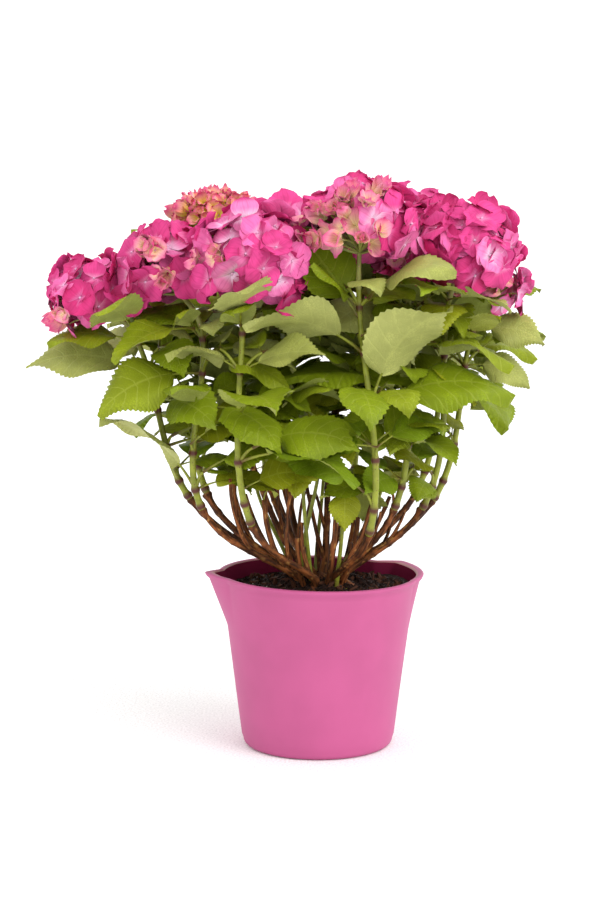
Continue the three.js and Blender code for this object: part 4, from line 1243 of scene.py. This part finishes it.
def old_forks(plan, random):
    """Old side stems that fork off the canes, two on each, stand up beside them and end in a cut."""
    count = 2 * len(CANES)
    share = np.tile([0.1, 0.4], len(CANES)) + random.uniform(-0.06, 0.06, count)
    near = plan.wood(np.linspace(0, 1, 101))
    cane, step = np.repeat(np.arange(len(CANES)), 2), np.round(share * 100).astype(int)
    start, ahead = near[cane, step], unit(near[cane, step + 1] - near[cane, step])
    swing = unit(random.normal(0, 1, (count, 3)) * [1, 1, 0.1])
    leaving = unit(ahead + 0.6 * swing + 0.5 * UP)
    tall = random.uniform(34, 92, (count, 1)) * MM
    end = start + unit(0.5 * ahead + 0.45 * swing + UP) * tall
    s = np.linspace(0, 1, 18)
    lines = cubic(start, leaving, end, UP + 0.4 * swing, s)
    thick = random.uniform(1.4, 2.2, (count, 1, 1)) * MM * (1.1 - 0.3 * s[:, None])
    sides, which = 9, np.arange(count)[:, None, None]
    rough = relief(10, *circle(turns(sides), 2), 9 * s[:, None] + 3 * which)
    knot = near_scars(s, random.uniform(0.2, 0.95, (count, 2)), tall, 1.6 * MM)
    return tubes(lines, thick * (1 + 0.12 * rough + 0.2 * knot[..., None]), sides, knot * 0.7)


def crown_mound():
    """The low crown: rings over a mound with a soft ridge towards each cane's foot."""
    turn = np.radians(np.arange(72) * 5.0)
    rows = np.array([
        [0.3, -0.1], [1.0, -0.1], [0.94, 0.12], [0.78, 0.3],
        [0.6, 0.42], [0.42, 0.5], [0.2, 0.56], [0.03, 0.58],
    ])
    ridges = np.clip(np.cos(turn[:, None] - np.radians([c["foot"][0] for c in CANES])), 0, 1) ** 24
    shape = 0.7 + 0.2 * np.clip(ridges.sum(1), 0, 1)
    bumps = relief(15, *circle(turn, 5), rows[:, 1:] * 4)
    r = rows[:, :1] * CROWN["radius"] * MM * shape * (1 + 0.07 * bumps)
    z = SOIL["level"] * MM + rows[:, 1:] * CROWN["height"] * MM * (1 + 0.2 * bumps)
    uv = np.meshgrid(np.arange(8) * 6 * MM, np.arange(73) / 9, indexing="ij")
    mound = skin(round_axis(r, turn, z)[None], np.stack(uv, -1))
    mound.values = {"knot": 0.6}
    return mound


def old_stumps():
    """Old stems cut back between the canes, where the source's number sequence sets them. Those that the
    packed crown bears have a corner near their end."""
    seeded = Seeded(5)
    # The three rings of the source's mound take the first numbers.
    for _ in range(3 * CROWN["sides"]):
        seeded.next()
    corners, stumps = corners_of("woody_crown"), []
    for i in range(STUMP["count"]):
        out = heading(360 * (i + 0.6 * seeded.next()) / STUMP["count"])
        start = out * (8 + 14 * seeded.next()) * MM
        start[2] = (SOIL["level"] + 0.3 + CROWN["height"] * 0.3) * MM
        tall = (STUMP["shortest"] + (STUMP["longest"] - STUMP["shortest"]) * seeded.next()) * MM
        end = start + out * tall * 0.45 + UP * tall
        if np.linalg.norm(corners - end, axis=1).min() < (STUMP["radius"] + 0.5) * MM:
            stumps.append((start - UP * 12 * MM, out + UP, end, UP))
    rings, sides = 20, 14
    s = np.linspace(0, 1, rings)
    lines = cubic(*(np.array(column) for column in zip(*stumps)), s)
    thin = STUMP["radius"] * MM * (1.15 - 0.25 * s[None, :, None])
    rough = relief(9, *circle(turns(sides), 2), np.arange(rings)[:, None])
    return tubes(lines, thin * (1 + 0.12 * rough), sides, 0.15)


class HYDRANGEA_OT_wood(bpy.types.Operator):
    """Grow the brown wood: the crown, the canes up to their elbows and the old stumps between them"""

    bl_idname = "hydrangea.wood"
    bl_label = "Woody stems"

    def execute(self, context):
        stems, plan = settings_of(context).stems, plan_canes()
        random = np.random.default_rng(4)
        wood = [cane_wood(plan, stems, random), dead_ends(plan, random), old_forks(plan, random)]
        wood += [crown_mound(), old_stumps()]
        look = material("hydrangea_bark", bark, stems.bark_colour)
        add_piece("woody_stems", wood, [look], ["woody_crown", *numbered("cane_")])
        return {"FINISHED"}


class HYDRANGEA_OT_shoots(bpy.types.Operator):
    """Grow the green shoots with their joints, leaf stalks, side twigs and leaves"""

    bl_idname = "hydrangea.shoots"
    bl_label = "Leafy shoots"

    def execute(self, context):
        settings, plan = settings_of(context), plan_canes()
        stems, look = settings.stems, settings.leaves
        random = np.random.default_rng(17)
        t = np.linspace(0, 1, 90)
        height = np.linalg.norm(plan.neck - plan.elbow, axis=1)[:, None]
        joints = np.array([0.02, *(pair["at"] for pair in PAIRS)])[:, None]
        near = np.abs((t - joints)[None] * height[..., None])
        swell = np.exp(-((near / (2.7 * MM)) ** 2)).max(1)
        taper = stems.shoot_foot + (stems.shoot_tip - stems.shoot_foot) * t
        shoots = tubes(plan.stem(t), taper * (1 + 0.4 * swell), 14, np.clip(swell * 1.3, 0, 1))

        bearing = source_leaves(plan)
        sprout_leaves, sprouts = crown_sprouts()
        small, twigs = fine_twigs(plan, bearing + sprout_leaves, look)
        outer = leaf_set(bearing)
        inner = leaf_set(small + sprout_leaves)
        # A leaf without a colour of its own is painted lighter the further out and the higher it stands:
        # painted light and shade for how much light reaches its place. A few at random take the new leaves' own
        # colour.
        for leaves in (outer, inner):
            light_exposure = np.linalg.norm(leaves.root[:, :2], axis=1) / (150 * MM)
            light_exposure = light_exposure + (leaves.root[:, 2] - 0.25) / (120 * MM)
            chance = np.round(light_exposure * 1.05 + random.uniform(-0.9, 1.1, len(light_exposure)))
            is_new = random.random(len(light_exposure)) < 0.06
            ruled = np.where(is_new, NEW, np.clip(chance, PAINTED_SHADE, PAINTED_FULL_LIGHT))
            leaves.tone = np.where(leaves.tone == BY_LIGHT, ruled, leaves.tone).astype(int)
        s = np.linspace(0, 1, 7)
        side_twigs = tubes(cubic(*twigs, s), 1.5 * MM * (1.2 - 0.4 * s), 7, np.clip(0.7 - 2 * s, 0, 1))
        s = np.linspace(0, 1, 24)
        knot = np.clip(1 - 5 * s, 0, 1) + np.clip(20 * s - 19.2, 0, 0.7)
        sprout_stems = tubes(cubic(*sprouts, s), 1.8 * MM * (1.15 - 0.3 * s), 9, knot)
        stalks = [petioles(outer, 7), petioles(inner, 6)]
        green = material("green_hydrangea_wood", green_stem, stems.green, stems.joint_colour)
        nodes = numbered("leafy_shoot_")
        add_piece("green_stems", [shoots, *stalks, side_twigs, sprout_stems], [green], nodes)
        faces = []
        # Every colour row but the new one is a lit or shaded copy of one green: painted light and shade.
        for name, top, under, vein in LEAF_COLOURS:
            top, under, vein = (hex_colour(text) for text in (top, under, vein))
            faces.append(material(f"leaf_{name}_upper", leaf_face, top, vein, 0.48, look.vein_pairs))
            pale_vein = shade(under, 1.2)
            faces.append(material(f"leaf_{name}_under", leaf_face, under, pale_vein, 0.6, look.vein_pairs))
        add_piece("leaf_blades", [blades(outer, 41, 8, look)], faces, nodes)
        add_piece("small_leaf_blades", [blades(inner, 29, 6, look)], faces, nodes)
        return {"FINISHED"}


class HYDRANGEA_OT_heads(bpy.types.Operator):
    """Set the flower heads: stalks, florets of four sepals, and the bead in each eye"""

    bl_idname = "hydrangea.heads"
    bl_label = "Flower heads"

    def execute(self, context):
        heads, plan = settings_of(context).heads, plan_canes()
        florets = floret_places(plan, heads.spacing, 1.0)
        inner = floret_places(plan, heads.spacing * 1.05, 0.8)
        # The inner layer of florets is painted no darker than light pink. This painted light lifts the shade in
        # the depths of each head.
        inner.tone = np.maximum(inner.tone, LIGHT)
        nodes = numbered("flower_head_")
        materials = [
            material(f"sepal_{name}", petal, colour, hex_colour(eye), edge, eye_reach)
            for name, colour, eye, edge, eye_reach in (
                ("deep", heads.deep, "#d46ba0", shade(heads.deep, 0.92), 0.34),
                ("rose", heads.rose, "#e184b0", shade(heads.rose, 0.96), 0.34),
                ("light", heads.light, "#e9a6c8", shade(heads.light, 1.04), 0.34),
                ("pale_eye", hex_colour("#db74a8"), "#e6c6dc", heads.rose, 0.5),
                ("young", hex_colour("#ec94ae"), "#f6eeb2", hex_colour("#e05e96"), 0.78),
                ("opening", hex_colour("#ee9ca4"), "#e6e450", hex_colour("#e0568c"), 0.86),
            )
        ]
        left = florets.point[:, 0] < 0
        for name, group, stations, across in (
            ("left", part_of(florets, left), 7, 5),
            ("right", part_of(florets, ~left), 7, 5),
            ("inner", inner, 5, 4),
        ):
            petals = sepals(group, heads, stations, across)
            add_piece(f"sepals_{name}", [petals], materials, nodes, 70)
        eye = material("true_flower_bud", plain, hex_colour("#d9a3c4"), 0.5)
        add_piece("flower_buds", [buds(florets)], [eye], nodes)

        t = np.linspace(0, 1, 7)
        back = florets.point - florets.facing * florets.size[:, None] * 0.16
        lines = cubic(florets.hub, florets.out + 0.3 * UP, back, florets.facing, t)
        stalks = tubes(lines, 0.8 * MM * (1.3 - 0.4 * t), 5)
        flowering = flowering_canes()
        s = np.linspace(0, 1, 12)
        neck, middle = plan.neck[flowering], plan.middle[flowering]
        top = neck + (middle - neck) * 0.85
        lines = cubic(neck, plan.finish[flowering], top, middle - neck + 0.02 * UP, s)
        main = tubes(lines, 2.5 * MM * (1 - 0.35 * s), 10)
        # The flower stalks' green is painted darker than the shoots'. This is painted shade for the shadow
        # under the heads.
        green = material("flower_stalk", green_stem, hex_colour("#a3a455"), hex_colour("#b06a7c"))
        add_piece("flower_stalks", [main, stalks], [green], nodes)
        return {"FINISHED"}


class HYDRANGEA_OT_studio(bpy.types.Operator):
    """Set up the pale floor, the white surround, the soft light and the camera"""

    bl_idname = "hydrangea.studio"
    bl_label = "Studio"

    def execute(self, context):
        studio, scene = settings_of(context).studio, context.scene
        span = 6.0
        mesh = bpy.data.meshes.new("floor")
        square = [(-span, -span, 0), (span, -span, 0), (span, span, 0), (-span, span, 0)]
        mesh.from_pydata(square, [], [(0, 1, 2, 3)])
        floor = bpy.data.objects.new("floor", mesh)
        scene.collection.objects.link(floor)
        mesh.materials.append(material("matt_white_paper", plain, studio.floor_colour, 0.9))

        world = bpy.data.worlds.new("white_surround")
        scene.world = world
        world.use_nodes = True
        sky = world.node_tree.nodes["Background"]
        sky.inputs[0].default_value = (1, 1, 1, 1)
        sky.inputs[1].default_value = studio.surround
        # A large soft light, high up on the right and a little in front.
        light = bpy.data.lights.new("soft_sun", "SUN")
        light.energy, light.angle = studio.sun, studio.softness
        lamp = bpy.data.objects.new("soft_sun", light)
        lamp.rotation_mode = "QUATERNION"
        lamp.rotation_quaternion = Vector(STUDIO["sun_from"]).to_track_quat("Z", "Y")
        scene.collection.objects.link(lamp)

        camera = bpy.data.cameras.new("camera")
        camera.lens = STUDIO["lens"]
        view = bpy.data.objects.new("camera", camera)
        view.location = STUDIO["place"]
        view.rotation_euler = (math.radians(90 - STUDIO["tilt"]), 0, 0)
        scene.collection.objects.link(view)
        scene.camera = view
        scene.view_settings.view_transform = "Standard"
        return {"FINISHED"}


class HYDRANGEA_PT_panel(bpy.types.Panel):
    """Settings and steps of the potted hydrangea"""

    bl_idname = "HYDRANGEA_PT_panel"
    bl_label = "Potted Hydrangea"
    bl_space_type = "VIEW_3D"
    bl_region_type = "UI"
    bl_category = "Hydrangea"

    def draw(self, context):
        for group in GROUPS:
            box = self.layout.box()
            settings = getattr(context.scene, group)
            for name in settings.bl_rna.properties.keys():
                if name not in ("rna_type", "name"):
                    box.prop(settings, name)
        for operator in STEPS:
            self.layout.operator(operator.bl_idname)


GROUPS = {
    "hydrangea_pot": PotSettings,
    "hydrangea_stems": StemSettings,
    "hydrangea_leaves": LeafSettings,
    "hydrangea_heads": HeadSettings,
    "hydrangea_studio": StudioSettings,
}
STEPS = (
    HYDRANGEA_OT_pot,
    HYDRANGEA_OT_compost,
    HYDRANGEA_OT_wood,
    HYDRANGEA_OT_shoots,
    HYDRANGEA_OT_heads,
    HYDRANGEA_OT_studio,
)
CLASSES = (*GROUPS.values(), *STEPS, HYDRANGEA_PT_panel)


def register():
    for cls in CLASSES:
        bpy.utils.register_class(cls)
    for name, group in GROUPS.items():
        setattr(bpy.types.Scene, name, bpy.props.PointerProperty(type=group))


def unregister():
    for name in GROUPS:
        delattr(bpy.types.Scene, name)
    for cls in reversed(CLASSES):
        bpy.utils.unregister_class(cls)


def main():
    register()
    for step in STEPS:
        group, name = step.bl_idname.split(".")
        getattr(getattr(bpy.ops, group), name)()
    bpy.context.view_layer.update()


if __name__ == "__main__":
    main()
